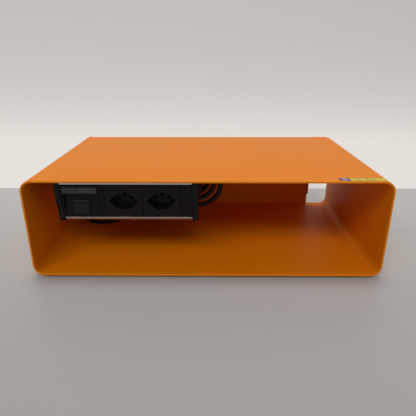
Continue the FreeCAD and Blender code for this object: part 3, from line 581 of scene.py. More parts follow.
def lathe(bm, profile, start, direction, steps=24):
    """Turns a profile of (radius, distance) pairs about an axis."""
    fresh = bmesh.new()
    verts = [fresh.verts.new((radius, 0, along)) for radius, along in profile]
    edges = [fresh.edges.new(pair) for pair in zip(verts, verts[1:])]
    bmesh.ops.spin(
        fresh, geom=verts + edges, cent=(0, 0, 0), axis=(0, 0, 1), angle=2 * math.pi,
        steps=steps, use_merge=True,
    )
    bmesh.ops.remove_doubles(fresh, verts=fresh.verts, dist=1e-6)
    bmesh.ops.recalc_face_normals(fresh, faces=fresh.faces)
    turn = Vector(direction).to_track_quat("Z", "Y").to_matrix().to_4x4()
    fresh.transform(Matrix.Translation(start) @ turn)
    carrier = bpy.data.meshes.new("turned")
    fresh.to_mesh(carrier)
    fresh.free()
    bm.from_mesh(carrier)
    bpy.data.meshes.remove(carrier)


panel = bmesh.new()
box_between(panel, (panel_low.x, panel_high.y - PANEL_T, panel_low.z), panel_high)
flange = bmesh.new()
box_between(
    flange,
    (panel_high.x - PANEL_T, panel_low.y, PANEL_FLANGE_Z[0]),
    (panel_high.x, panel_high.y - PANEL_T / 2, PANEL_FLANGE_Z[1]),
)
panel = combine(panel, flange, "UNION")
sinks = bmesh.new()
for x in SCREW_X:
    for z in SCREW_Z:
        lathe(
            sinks,
            [
                (0, CUT_OVER), (SINK_R, CUT_OVER), (SINK_R, 0),
                (SHANK_R, -SINK_DEEP), (SHANK_R, -HOLE_DEEP), (0, -HOLE_DEEP),
            ],
            (x, panel_high.y, z),
            (0, 1, 0),
        )
panel = combine(panel, sinks, "DIFFERENCE")
add_piece(
    "rear_panel_sheet", panel, orange_coat, soften=0.25 * MM,
    replaces=["rear_panel"],
)


# ---------------------------------------------------------------- panel screws
# Eight small countersunk screws of blackened steel, with a hexagon socket for a key,
# are driven from the rear through the panel and into the nuts in the lips.
HEAD_R = 2.75 * MM
HEAD_H = 1.4 * MM
HEAD_EDGE = 0.15 * MM
SCREW_SUNK = 0.1 * MM
SCREW_L = 4.6 * MM
SCREW_TIP = 0.4 * MM
SOCKET_R = 1.2 * MM
SOCKET_DEEP = 1.0 * MM

blackened = Finish("blackened_steel", Metallic=1.0, Roughness=0.38)
blackened.set("Base Color", blackened.vary((0.055, 0.052, 0.05), 0.2, 400.0))
blackened.set("Roughness", blackened.noise(900.0) * 0.15 + 0.3)


def hex_socket(bm, place, direction, radius, depth):
    """A six-sided pocket for a key."""
    made = bmesh.ops.create_cone(
        bm, cap_ends=True, segments=6, radius1=radius, radius2=radius, depth=2 * depth
    )["verts"]
    turn = Vector(direction).to_track_quat("Z", "Y").to_matrix().to_4x4()
    bmesh.ops.transform(bm, matrix=Matrix.Translation(place) @ turn, verts=made)


screws = bmesh.new()
keys = bmesh.new()
for x in SCREW_X:
    for z in SCREW_Z:
        top = panel_high.y - SCREW_SUNK
        lathe(
            screws,
            [
                (0, 0), (HEAD_R - HEAD_EDGE, 0), (HEAD_R, -HEAD_EDGE), (SHANK_R, -HEAD_H),
                (SHANK_R, SCREW_TIP - SCREW_L), (SHANK_R - SCREW_TIP, -SCREW_L), (0, -SCREW_L),
            ],
            (x, top, z),
            (0, 1, 0),
        )
        hex_socket(keys, (x, top, z), (0, 1, 0), SOCKET_R, SOCKET_DEEP)
add_piece(
    "panel_screws", combine(screws, keys, "DIFFERENCE"), blackened,
    soften=0.06 * MM, replaces=["rear_panel_screws"],
)


# ---------------------------------------------------------------- press nuts
# Closed steel nuts are pressed into the lips from inside. They were fitted before the
# sleeve was coated, so they show as low orange discs.
nut_low, nut_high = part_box("rear_panel_nuts")
PRESS_NUT_R = 3.25 * MM
PRESS_NUT_EDGE = 0.35 * MM
press_nuts = bmesh.new()
for x in SCREW_X:
    for z in SCREW_Z:
        nut_t = nut_high.y - nut_low.y
        lathe(
            press_nuts,
            [
                (0, 0), (PRESS_NUT_R, 0), (PRESS_NUT_R, nut_t - PRESS_NUT_EDGE),
                (PRESS_NUT_R - PRESS_NUT_EDGE, nut_t), (0, nut_t),
            ],
            (x, nut_high.y, z),
            (0, -1, 0),
            32,
        )
add_piece(
    "press_nuts", press_nuts, orange_coat, soften=0.12 * MM,
    replaces=["rear_panel_nuts"],
)


# ---------------------------------------------------------------- feet
# Domed bumpers of clear soft polyurethane, stuck under the four corners and under the
# middle of the front edge.
FOOT_SIDE = 0.9 * MM
DOME_STEPS = 7
clear_rubber = Finish("clear_foot", Roughness=0.16, IOR=1.48, Transmission_Weight=0.35)
clear_rubber.set("Base Color", clear_rubber.vary((0.52, 0.56, 0.59), 0.04, 150.0))
clear_rubber.bump(clear_rubber.noise(500.0), 0.00004)
for place in ("front_left", "front_right", "rear_left", "rear_right", "front_centre"):
    low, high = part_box("foot_" + place)
    radius = (high.x - low.x) / 2
    rise = high.z - FOOT_SIDE
    ball_r = (radius**2 + rise**2) / (2 * rise)
    reach = math.asin(radius / ball_r)
    tilts = [reach * k / DOME_STEPS for k in range(DOME_STEPS + 1)]
    dome = [(ball_r * math.sin(tilt), ball_r * (1 - math.cos(tilt))) for tilt in tilts]
    dome += [(radius, high.z), (0, high.z)]
    bumper = bmesh.new()
    lathe(bumper, dome, ((low.x + high.x) / 2, (low.y + high.y) / 2, 0), (0, 0, 1), 32)
    add_piece("bumper_" + place, bumper, clear_rubber, replaces=["foot_" + place])


# ---------------------------------------------------------------- asset label
# A printed film sticker at the front right of the top, which follows the start of the
# bend: a blue field with a pale panel, then plain yellow with darker bars.
label_low, label_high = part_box("asset_label")
BLUE_END_X = 0.1831
BARS_PER_METRE = 330.0
PALE_HALF_Y = 3.2 * MM
FILM_T = 0.15 * MM
FILM_STEPS = 8
FILM_CORNER_R = 1.2 * MM
label_print = Finish("printed_label", Roughness=0.35)
label_x = label_print.axis("X")
label_y = label_print.axis("Y")
label_middle_y = (label_low.y + label_high.y) / 2
in_blue = label_x < BLUE_END_X
pale_panel = (
    (label_x > label_low.x + 4.0 * MM) * (label_x < BLUE_END_X - 3.5 * MM)
    * (label_y > label_middle_y - PALE_HALF_Y) * (label_y < label_middle_y + PALE_HALF_Y)
)
bars = (
    (label_x > BLUE_END_X + 4.0 * MM) * (label_x < label_high.x - 5.0 * MM)
    * ((label_y * BARS_PER_METRE).fraction() > 0.62)
    * (label_print.noise(240.0, 1.0, (1.0, 0.2, 1.0)) > 0.47)
)
yellow_side = label_print.blend(bars, (0.60, 0.55, 0.02, 1.0), (0.14, 0.13, 0.03, 1.0))
blue_side = label_print.blend(pale_panel, (0.012, 0.015, 0.20, 1.0), (0.36, 0.38, 0.55, 1.0))
label_print.set("Base Color", label_print.blend(in_blue, yellow_side, blue_side))
bend_x = sleeve_high.x - SLEEVE_CORNER_R


def film_line(lift):
    """(x, z) points along the film at a height above the sheet."""
    line = [(label_low.x, sleeve_high.z + lift)]
    for step in range(FILM_STEPS + 1):
        out = (label_high.x - bend_x) * step / FILM_STEPS
        rise = math.sqrt((SLEEVE_CORNER_R + lift) ** 2 - out**2)
        line.append((bend_x + out, sleeve_high.z - SLEEVE_CORNER_R + rise))
    return line


film = bmesh.new()
outline = film_line(FILM_T) + film_line(0.0)[::-1]
side_face = film.faces.new([film.verts.new((x, label_low.y, z)) for x, z in outline])
grown = bmesh.ops.extrude_face_region(film, geom=[side_face])["geom"]
far_side = [g for g in grown if isinstance(g, bmesh.types.BMVert)]
bmesh.ops.translate(film, vec=(0, label_high.y - label_low.y, 0), verts=far_side)
bmesh.ops.recalc_face_normals(film, faces=film.faces)
round_edges(film, edges_along(film, (0, 0, 1)), FILM_CORNER_R, 4)
add_piece(
    "label_film", film, label_print, soften=0.04 * MM, replaces=["asset_label"]
)


# ---------------------------------------------------------------- module rail
# The module hangs under the top, with its face leaning back towards the bottom. Its
# frame is a clear anodised aluminium extrusion, open in front between two bright strips.
FACE_Y = sleeve_low.y + 10.0 * MM
UNDER_Z = sleeve_high.z - SHEET
LEAN = math.radians(9.0)
LEAN_TURN = (
    Matrix.Translation((0, FACE_Y, UNDER_Z)) @ Matrix.Rotation(LEAN, 4, "X")
    @ Matrix.Translation((0, -FACE_Y, -UNDER_Z))
)
RAIL_X = (-0.193, -0.020)
RAIL_DROP = (1.7 * MM, 58.8 * MM)
RAIL_BACK_Y = -0.084
RAIL_WALL = 2.0 * MM
STRIP_T = 2.5 * MM
SLOT_DOWN = (5.8 * MM, 55.0 * MM)
RAIL_LOW_SETBACK = 1.6 * MM
RAIL_LOW_R = 1.6 * MM


def face_y(drop):
    """Y of the leaning face at a height below the top sheet."""
    return FACE_Y + math.tan(LEAN) * drop


def on_face(down, depth):
    """(y, z) of a point so far down the leaning face and behind it."""
    return (
        FACE_Y + depth * math.cos(LEAN) + down * math.sin(LEAN),
        UNDER_Z + depth * math.sin(LEAN) - down * math.cos(LEAN),
    )


def prism_along_x(bm, outline, x0, x1):
    """A bar along X over a closed outline of (y, z) points."""
    ring = [bm.verts.new((x0, y, z)) for y, z in outline]
    face = bm.faces.new(ring)
    grown = bmesh.ops.extrude_face_region(bm, geom=[face])["geom"]
    tips = [g for g in grown if isinstance(g, bmesh.types.BMVert)]
    bmesh.ops.translate(bm, vec=(x1 - x0, 0, 0), verts=tips)
    bmesh.ops.recalc_face_normals(bm, faces=bm.faces)
    return ring + tips


def plate(bm, x0, x1, depth0, depth1, down0, down1):
    """A leaning box: from depth0 to depth1 behind the face, down0 to down1 along it."""
    made = box_between(
        bm, (x0, FACE_Y + depth0, UNDER_Z - down1), (x1, FACE_Y + depth1, UNDER_Z - down0)
    )
    bmesh.ops.transform(bm, matrix=LEAN_TURN, verts=made)
    return made


anodised = Finish("clear_anodised", Metallic=1.0, Roughness=0.3)
brushed = anodised.noise(1500.0, 2.0, (0.03, 1.0, 1.0))
anodised.set("Base Color", anodised.blend(brushed, (0.44, 0.44, 0.46, 1.0), (0.54, 0.54, 0.56, 1.0)))
anodised.set("Roughness", brushed * 0.12 + 0.24)
anodised.bump(brushed, 0.00002)
skew = STRIP_T / math.cos(LEAN)
rail_top, rail_low = UNDER_Z - RAIL_DROP[0], UNDER_Z - RAIL_DROP[1]
inner_top, inner_low = rail_top - RAIL_WALL, rail_low + RAIL_WALL
rail = bmesh.new()
prism_along_x(
    rail,
    [
        (face_y(RAIL_DROP[0]), rail_top),
        (RAIL_BACK_Y, rail_top),
        (RAIL_BACK_Y, rail_low),
        (face_y(RAIL_DROP[1]) + RAIL_LOW_SETBACK, rail_low),
        on_face(SLOT_DOWN[1], 0.0),
        on_face(SLOT_DOWN[1], STRIP_T),
        (face_y(RAIL_DROP[1] - RAIL_WALL) + skew, inner_low),
        (RAIL_BACK_Y - RAIL_WALL, inner_low),
        (RAIL_BACK_Y - RAIL_WALL, inner_top),
        (face_y(RAIL_DROP[0] + RAIL_WALL) + skew, inner_top),
        on_face(SLOT_DOWN[0], STRIP_T),
        on_face(SLOT_DOWN[0], 0.0),
    ],
    *RAIL_X,
)
low_corner = [
    e for e in edges_along(rail, (1, 0, 0))
    if abs(e.verts[0].co.z - rail_low) < 1e-6 and e.verts[0].co.y < RAIL_BACK_Y - MM
]
round_edges(rail, low_corner, RAIL_LOW_R, 8)
add_piece("rail_extrusion", rail, anodised, soften=0.45 * MM, replaces=["rail"])


# ---------------------------------------------------------------- end caps
# Black moulded ends close the extrusion and stand a little proud of it. Each has a boss
# that goes into the rail, and two screws in deep round sinks hold it.
CAP_W = 7.5 * MM
CAP_DROP = (0.5 * MM, 60.9 * MM)
CAP_PROUD = 1.0 * MM / math.cos(LEAN)
CAP_BACK = 1.5 * MM
CAP_CORNER_R = 4.0 * MM
CAP_SCREW_Y = -0.092
CAP_SCREW_Z = (0.093, 0.122)
CAP_SINK_R = 2.75 * MM
CAP_SINK_DEEP = 2.4 * MM
CAP_BORE_R = 1.45 * MM
CAP_BORE_DEEP = 11.0 * MM
BOSS_IN = 1.5 * MM
BOSS_FRONT_Y = -0.097
BOSS_BACK_Y = RAIL_BACK_Y - RAIL_WALL - 0.1 * MM
BOSS_Z = (0.084, 0.130)


def moulding(name, colour, roughness, grain=1900.0, depth=0.00003):
    """A moulded plastic with a fine eroded grain."""
    made = Finish(name, Roughness=roughness, Specular_IOR_Level=0.18)
    made.set("Base Color", made.vary(colour, 0.12, 120.0))
    made.set("Roughness", made.noise(300.0) * 0.1 + (roughness - 0.05))
    made.bump(made.noise(grain), depth)
    return made


black_plastic = moulding("black_moulding", (0.0048, 0.0036, 0.0031), 0.48)
for side, x0 in (("left", RAIL_X[0] - CAP_W), ("right", RAIL_X[1])):
    cap = bmesh.new()
    top, low = UNDER_Z - CAP_DROP[0], UNDER_Z - CAP_DROP[1]
    back = RAIL_BACK_Y + CAP_BACK
    prism_along_x(
        cap,
        [
            (face_y(CAP_DROP[0]) - CAP_PROUD, top),
            (back, top),
            (back, low),
            (face_y(CAP_DROP[1]) - CAP_PROUD, low),
        ],
        x0,
        x0 + CAP_W,
    )
    corners = [e for e in edges_along(cap, (1, 0, 0)) if abs(e.verts[0].co.z - low) < 0.2 * MM]
    round_edges(cap, corners, CAP_CORNER_R, 8)
    outside = x0 if side == "left" else x0 + CAP_W
    inside = x0 + CAP_W if side == "left" else x0
    outward = -1 if side == "left" else 1
    boss = bmesh.new()
    boss_x = sorted((inside + outward * MM, inside - outward * BOSS_IN))
    box_between(
        boss, (boss_x[0], BOSS_FRONT_Y, BOSS_Z[0]), (boss_x[1], BOSS_BACK_Y, BOSS_Z[1])
    )
    cap = combine(cap, boss, "UNION")
    sinks = bmesh.new()
    for z in CAP_SCREW_Z:
        lathe(
            sinks,
            [
                (0, MM), (CAP_SINK_R, MM), (CAP_SINK_R, -CAP_SINK_DEEP),
                (CAP_BORE_R, -CAP_SINK_DEEP), (CAP_BORE_R, -CAP_BORE_DEEP), (0, -CAP_BORE_DEEP),
            ],
            (outside, CAP_SCREW_Y, z),
            (outward, 0, 0),
        )
    cap = combine(cap, sinks, "DIFFERENCE")
    add_piece(
        "cap_" + side, cap, black_plastic, soften=0.35 * MM,
        replaces=["end_cap_" + side],
    )


# ---------------------------------------------------------------- sockets
# Two three-pin sockets, moulded in black: each has a front plate with a hexagonal recess
# for the plug, snapped in behind the rail's strips, and a separate base with three round
# holes at the recess's bottom.
PITCH = 50.0 * MM
SPACER_W = 7.1 * MM
DATA_X = RAIL_X[0] + PITCH / 2
SPACER_X = RAIL_X[0] + PITCH + SPACER_W / 2
SOCKET_X = {
    "left": SPACER_X + SPACER_W / 2 + PITCH / 2,
    "right": SPACER_X + SPACER_W / 2 + 1.5 * PITCH,
}
FIT = 0.1 * MM
FRONT_GAP = 0.3 * MM
FLANGE_DOWN = (4.9 * MM, 57.0 * MM)
FLANGE_T = 2.0 * MM
HEX_HALF = (19.8 * MM, 12.5 * MM)
HEX_DEEP = 10.0 * MM
HEX_WALL = 1.5 * MM
HEX_DOWN = 30.2 * MM
HEX_CORNER_R = 3.0 * MM
HEX_TIP_R = 1.0 * MM
# When the hexagon grows, its tips go out faster than its flats.
TIP_GROWTH = 1.3
SLOPE_GROWTH = 0.35
REBATE_DEPTH = 1.0 * MM
REBATE_TOP = 1.4 * MM
REBATE_LOW = 0.8 * MM
BASE_T = 3.0 * MM
BASE_PLAY = 0.03 * MM
PIN_PITCH = 19.0 * MM
EARTH_RISE = 5.0 * MM
PIN_HOLE_R = 2.4 * MM
LEAD_IN_R = 3.0 * MM
LEAD_IN_DEEP = 0.6 * MM


def insert_plate(bm, x, width):
    """A front plate that fills the rail's slot, with the flange behind the strips."""
    half = width / 2 - FIT
    front_half = width / 2 - FRONT_GAP
    slot_top, slot_low = SLOT_DOWN
    plate(bm, x - front_half, x + front_half, 0, STRIP_T + FIT, slot_top + FIT, slot_low - FIT)
    for down in ((0, slot_top + REBATE_TOP), (slot_low - REBATE_LOW, slot_low + MM)):
        rebate = bmesh.new()
        plate(rebate, x - half - MM, x + half + MM, -MM, REBATE_DEPTH, *down)
        bm = combine(bm, rebate, "DIFFERENCE")
    flange = bmesh.new()
    plate(flange, x - half, x + half, STRIP_T, STRIP_T + FIT + FLANGE_T, *FLANGE_DOWN)
    return combine(bm, flange, "UNION")


def hexagon(x, grow, depth0, depth1):
    """A leaning flat-topped six-sided bar with rounded corners and sharper tips."""
    bm = bmesh.new()
    half_w, half_h = HEX_HALF[0] + grow * TIP_GROWTH, HEX_HALF[1] + grow
    flat = half_w - HEX_HALF[1] - grow * SLOPE_GROWTH
    corners = [(half_w, 0), (flat, half_h), (-flat, half_h)]
    corners += [(-half_w, 0), (-flat, -half_h), (flat, -half_h)]
    ring = [
        bm.verts.new((x + dx, FACE_Y + depth0, UNDER_Z - HEX_DOWN + dz)) for dx, dz in corners
    ]
    grown = bmesh.ops.extrude_face_region(bm, geom=[bm.faces.new(ring)])["geom"]
    tips = [g for g in grown if isinstance(g, bmesh.types.BMVert)]
    bmesh.ops.translate(bm, vec=(0, depth1 - depth0, 0), verts=tips)
    bmesh.ops.recalc_face_normals(bm, faces=bm.faces)
    tip_edges = [e for e in edges_along(bm, (0, 1, 0)) if abs(e.verts[0].co.x - x) > half_w - 1e-6]
    round_edges(bm, tip_edges, HEX_TIP_R + max(grow, 0), 4)
    flat_z = [UNDER_Z - HEX_DOWN - half_h, UNDER_Z - HEX_DOWN + half_h]
    flat_ends = [
        e for e in edges_along(bm, (0, 1, 0))
        if min(abs(e.verts[0].co.z - z) for z in flat_z) < 1e-6
    ]
    round_edges(bm, flat_ends, HEX_CORNER_R + max(grow, 0), 5)
    bmesh.ops.transform(bm, matrix=LEAN_TURN, verts=bm.verts)
    return bm


# The base at the recess's bottom is painted darker than the front plate: painted shade in the recess.
painted_recess_black = moulding("socket_floor", (0.0022, 0.0020, 0.0021), 0.5)
for side, x in SOCKET_X.items():
    front = insert_plate(bmesh.new(), x, PITCH)
    front = combine(front, hexagon(x, HEX_WALL, MM, HEX_DEEP + BASE_T), "UNION")
    front = combine(front, hexagon(x, 0, -MM, HEX_DEEP + BASE_T + MM), "DIFFERENCE")
    add_piece(
        "socket_front_" + side, front, black_plastic, soften=0.5 * MM,
        replaces=["socket_" + side + "_face"],
    )
    base = hexagon(x, -BASE_PLAY, HEX_DEEP, HEX_DEEP + BASE_T)
    holes = bmesh.new()
    for dx, rise in ((-PIN_PITCH / 2, 0), (PIN_PITCH / 2, 0), (0, EARTH_RISE)):
        y, z = on_face(HEX_DOWN - rise, HEX_DEEP - MM)
        lathe(
            holes,
            [
                (0, 0), (LEAD_IN_R, 0), (LEAD_IN_R, 0.98 * MM),
                (PIN_HOLE_R, MM + LEAD_IN_DEEP), (PIN_HOLE_R, BASE_T + 2 * MM), (0, BASE_T + 2 * MM),
            ],
            (x + dx, y, z),
            (0, math.cos(LEAN), math.sin(LEAN)),
        )
    base = combine(base, holes, "DIFFERENCE")
    add_piece(
        "socket_floor_" + side, base, painted_recess_black, soften=0.15 * MM,
        replaces=["socket_" + side + "_base"],
    )


# ---------------------------------------------------------------- spacer and blank cover
# Two black moulded fillers, snapped in like the sockets: a narrow plain strip, and at
# the right a wider one with four shallow upright grooves.
BLANK_W = RAIL_X[1] - SOCKET_X["right"] - PITCH / 2
BLANK_X = RAIL_X[1] - BLANK_W / 2
GROOVES = 4
GROOVE_STEP = 3.4 * MM
GROOVE_W = 1.0 * MM
GROOVE_DEEP = 0.6 * MM
GROOVE_DOWN = (SLOT_DOWN[0] + 3 * MM, SLOT_DOWN[1] - 3 * MM)
add_piece(
    "spacer", insert_plate(bmesh.new(), SPACER_X, SPACER_W), black_plastic,
    soften=0.7 * MM, replaces=["spacer_strip"],
)
blank = insert_plate(bmesh.new(), BLANK_X, BLANK_W)
grooves = bmesh.new()
for index in range(GROOVES):
    x = BLANK_X + (index - (GROOVES - 1) / 2) * GROOVE_STEP
    plate(grooves, x - GROOVE_W / 2, x + GROOVE_W / 2, -MM, GROOVE_DEEP, *GROOVE_DOWN)
add_piece(
    "blank", combine(blank, grooves, "DIFFERENCE"), black_plastic,
    soften=0.3 * MM, replaces=["blank_cover"],
)


# ---------------------------------------------------------------- data insert
# The left insert is a black moulding with a seat for a label window across its top and,
# below it, a pocket whose back wall is upright. The data port opens in that wall, and two
# ears above it hold the hinge pin of a dust flap.
WINDOW_DOWN = (10.2 * MM, 18.8 * MM)
WINDOW_HALF_W = 22.6 * MM
WINDOW_T = 1.2 * MM
CARD_T = 0.3 * MM
POCKET_DOWN = (20.4 * MM, 53.2 * MM)
POCKET_HALF_W = 22.4 * MM
POCKET_WALL = 1.2 * MM
OUTLET_X = DATA_X - 1.0 * MM
OUTLET_Y = -0.1248
OUTLET_T = 2.0 * MM
PORT_HALF_W = 5.9 * MM
PORT_DROP = (36.0 * MM, 45.4 * MM)
HINGE_Y = OUTLET_Y - 0.8 * MM
HINGE_Z = UNDER_Z - 30.4 * MM
FLAP_HALF_W = 10.5 * MM
EAR_GAP = 0.4 * MM
EAR_W = 2.2 * MM
EAR_FRONT = 1.5 * MM
EAR_HALF_H = 1.6 * MM

pocket_top = UNDER_Z - POCKET_DOWN[0] * math.cos(LEAN)
pocket_low = UNDER_Z - POCKET_DOWN[1] * math.cos(LEAN)
insert = insert_plate(bmesh.new(), DATA_X, PITCH)
shell = bmesh.new()
prism_along_x(
    shell,
    [
        (face_y(UNDER_Z - pocket_top) + MM, pocket_top + POCKET_WALL),
        (OUTLET_Y + OUTLET_T, pocket_top + POCKET_WALL),
        (OUTLET_Y + OUTLET_T, pocket_low - 0.4 * MM),
        (face_y(UNDER_Z - pocket_low) + MM, pocket_low - 0.4 * MM),
    ],
    DATA_X - POCKET_HALF_W - POCKET_WALL,
    DATA_X + POCKET_HALF_W + POCKET_WALL,
)
insert = combine(insert, shell, "UNION")
pocket = bmesh.new()
prism_along_x(
    pocket,
    [
        (face_y(UNDER_Z - pocket_top) - 3 * MM, pocket_top),
        (OUTLET_Y, pocket_top),
        (OUTLET_Y, pocket_low),
        (face_y(UNDER_Z - pocket_low) - 3 * MM, pocket_low),
    ],
    DATA_X - POCKET_HALF_W,
    DATA_X + POCKET_HALF_W,
)
insert = combine(insert, pocket, "DIFFERENCE")
seat = bmesh.new()
plate(seat, DATA_X - WINDOW_HALF_W, DATA_X + WINDOW_HALF_W, -MM, WINDOW_T + CARD_T, *WINDOW_DOWN)
insert = combine(insert, seat, "DIFFERENCE")
port = bmesh.new()
box_between(
    port,
    (OUTLET_X - PORT_HALF_W, OUTLET_Y - MM, UNDER_Z - PORT_DROP[1]),
    (OUTLET_X + PORT_HALF_W, OUTLET_Y + OUTLET_T + MM, UNDER_Z - PORT_DROP[0]),
)
insert = combine(insert, port, "DIFFERENCE")
for side in (-1, 1):
    ear = bmesh.new()
    near = FLAP_HALF_W + EAR_GAP
    ends = sorted((OUTLET_X + side * near, OUTLET_X + side * (near + EAR_W)))
    box_between(
        ear,
        (ends[0], HINGE_Y - EAR_FRONT, HINGE_Z - EAR_HALF_H),
        (ends[1], OUTLET_Y + 0.3 * MM, HINGE_Z + EAR_HALF_H),
    )
    insert = combine(insert, ear, "UNION")
add_piece(
    "data_outlet_body", insert, black_plastic, soften=0.3 * MM,
    replaces=["data_insert"],
)


# ---------------------------------------------------------------- label window and card
# A smoked clear strip snaps over a blank paper card. The card is dark red at its left and
# pale grey at its right, a painted reflection in the window. A thin layer of air lies
# between them.
AIR_GAP = 0.1 * MM
window_x = (DATA_X - WINDOW_HALF_W, DATA_X + WINDOW_HALF_W)
clear_window = Finish(
    "window_plastic", Roughness=0.10, IOR=1.35, Specular_IOR_Level=0.2, Transmission_Weight=0.92
)
clear_window.set("Base Color", clear_window.vary((0.30, 0.30, 0.31), 0.03, 80.0))
window = bmesh.new()
plate(window, *window_x, 0, WINDOW_T - AIR_GAP, *WINDOW_DOWN)
add_piece(
    "window", window, clear_window, soften=0.25 * MM, replaces=["label_window"]
)
card_paper = Finish("card", Roughness=0.75)
painted_reflection_side = card_paper.axis("X") > DATA_X
# The dark left half and pale right half are a painted reflection in the window.
card_paper.set(
    "Base Color",
    card_paper.blend(
        painted_reflection_side,
        card_paper.vary((0.060, 0.012, 0.008), 0.08, 500.0),
        card_paper.vary((0.38, 0.36, 0.35), 0.08, 500.0),
    ),
)
card_paper.bump(card_paper.noise(2500.0), 0.00002)
card = bmesh.new()
plate(card, *window_x, WINDOW_T, WINDOW_T + CARD_T, *WINDOW_DOWN)
add_piece("card_strip", card, card_paper, soften=0.03 * MM, replaces=["label_card"])


# ---------------------------------------------------------------- dust flap
# The flap in front of the data port is a grey moulding with a bored barrel, which turns
# on a steel pin. It has a sunk line across its top and a grip ridge near its low edge.
FLAP_T = 1.4 * MM
FLAP_DROP = (32.2 * MM, 48.7 * MM)
FLAP_CORNER_R = 0.9 * MM
BARREL_R = 1.4 * MM
BARREL_BORE_R = 0.75 * MM
SPRING_ROOM = 4.0 * MM
LINE_HALF_W = 8.5 * MM
LINE_DROP = (34.2 * MM, 34.9 * MM)
LINE_DEEP = 0.4 * MM
GRIP_HALF_W = 6.0 * MM
GRIP_RISE = (1.2 * MM, 2.4 * MM)
GRIP_PROUD = 0.75 * MM
grey_plastic = moulding("grey_moulding", (0.013, 0.0105, 0.0108), 0.42, 2400.0, 0.00002)
leaf = bmesh.new()
leaf_y = (HINGE_Y - FLAP_T / 2, HINGE_Y + FLAP_T / 2)
leaf_z = (UNDER_Z - FLAP_DROP[1], UNDER_Z - FLAP_DROP[0])
flap_x = (OUTLET_X - FLAP_HALF_W, OUTLET_X + FLAP_HALF_W)
box_between(leaf, (flap_x[0], leaf_y[0], leaf_z[0]), (flap_x[1], leaf_y[1], leaf_z[1]))
low_corners = [e for e in edges_along(leaf, (0, 1, 0)) if e.verts[0].co.z < leaf_z[0] + MM]
round_edges(leaf, low_corners, FLAP_CORNER_R, 4)
neck = bmesh.new()
box_between(
    neck, (flap_x[0], leaf_y[0], leaf_z[1] - MM), (flap_x[1] - SPRING_ROOM, leaf_y[1], HINGE_Z)
)
leaf = combine(leaf, neck, "UNION")
barrel = bmesh.new()
barrel_l = 2 * FLAP_HALF_W - SPRING_ROOM
lathe(
    barrel,
    [(0, 0), (BARREL_R, 0), (BARREL_R, barrel_l), (0, barrel_l)],
    (flap_x[0], HINGE_Y, HINGE_Z),
    (1, 0, 0),
)
leaf = combine(leaf, barrel, "UNION")
grip = bmesh.new()
box_between(
    grip,
    (OUTLET_X - GRIP_HALF_W, leaf_y[0] - GRIP_PROUD, leaf_z[0] + GRIP_RISE[0]),
    (OUTLET_X + GRIP_HALF_W, leaf_y[0] + 0.3 * MM, leaf_z[0] + GRIP_RISE[1]),
)
leaf = combine(leaf, grip, "UNION")
cuts = bmesh.new()
lathe(
    cuts,
    [(0, 0), (BARREL_BORE_R, 0), (BARREL_BORE_R, 30 * MM), (0, 30 * MM)],
    (flap_x[0] - 4 * MM, HINGE_Y, HINGE_Z),
    (1, 0, 0),
)
box_between(
    cuts,
    (OUTLET_X - LINE_HALF_W, leaf_y[0] - MM, UNDER_Z - LINE_DROP[1]),
    (OUTLET_X + LINE_HALF_W, leaf_y[0] + LINE_DEEP, UNDER_Z - LINE_DROP[0]),
)
leaf = combine(leaf, cuts, "DIFFERENCE")
add_piece(
    "flap_leaf", leaf, grey_plastic, body="flap", soften=0.15 * MM,
    replaces=["dust_flap"],
)


# ---------------------------------------------------------------- strain relief
# A soft black sleeve moulded to the cord, with a flange against the rail's rear wall,
# four flexing grooves and a taper down to the cord. Its profile is in millimetres.
RELIEF_BODY_R = 6.1
RELIEF_GROOVES = 4
RELIEF_STEP = 3.3
RELIEF_TAPER = 0.25
relief_profile = [(0, 0), (4.7, 0), (4.7, 2.0), (7.2, 2.0), (7.2, 4.6), (6.8, 5.0), (6.2, 5.2)]
relief_profile.append((RELIEF_BODY_R, 7.6))
for groove in range(RELIEF_GROOVES):
    along = 7.8 + RELIEF_STEP * groove
    radius = RELIEF_BODY_R - RELIEF_TAPER * (groove + 0.4)
    relief_profile += [(radius - 0.9, along), (radius - 0.95, along + 1.1)]
    relief_profile += [(radius, along + 1.3), (radius - 0.2, along + 3.2)]
relief_profile += [(4.9, 22.2), (4.6, 23.6), (4.2, 24.0), (0, 24.0)]
relief = bmesh.new()
lathe(
    relief,
    [(r * MM, along * MM) for r, along in relief_profile],
    (CORD_EXIT[0], RAIL_BACK_Y - RAIL_WALL, CORD_EXIT[2]),
    (0, 1, 0),
    32,
)
add_piece(
    "relief_sleeve", relief, sheath, soften=0.12 * MM, replaces=["strain_relief"]
)


# ---------------------------------------------------------------- plug
# The cord's end is moulded into a flat six-sided plug with ribbed grips, in the same
# soft black as the sheath. Its three round pins are nickel plated.
PLUG_END = Vector(TAIL_ROUTE[-1]) * MM
PLUG_TURN = math.radians(-14.9)
PLUG_NECK_L = 14.0 * MM
PLUG_L = 38.0 * MM
PLUG_HALF = (17.0 * MM, 7.5 * MM)
PLUG_EDGE_R = 2.2 * MM
PLUG_PIN_R = 2.0 * MM
PLUG_PIN_L = 19.0 * MM
PLUG_RIBS = 5
RIB_START = 4.0 * MM
RIB_STEP = 3.2 * MM
RIB_W = 1.5 * MM
RIB_DEEP = 1.1 * MM
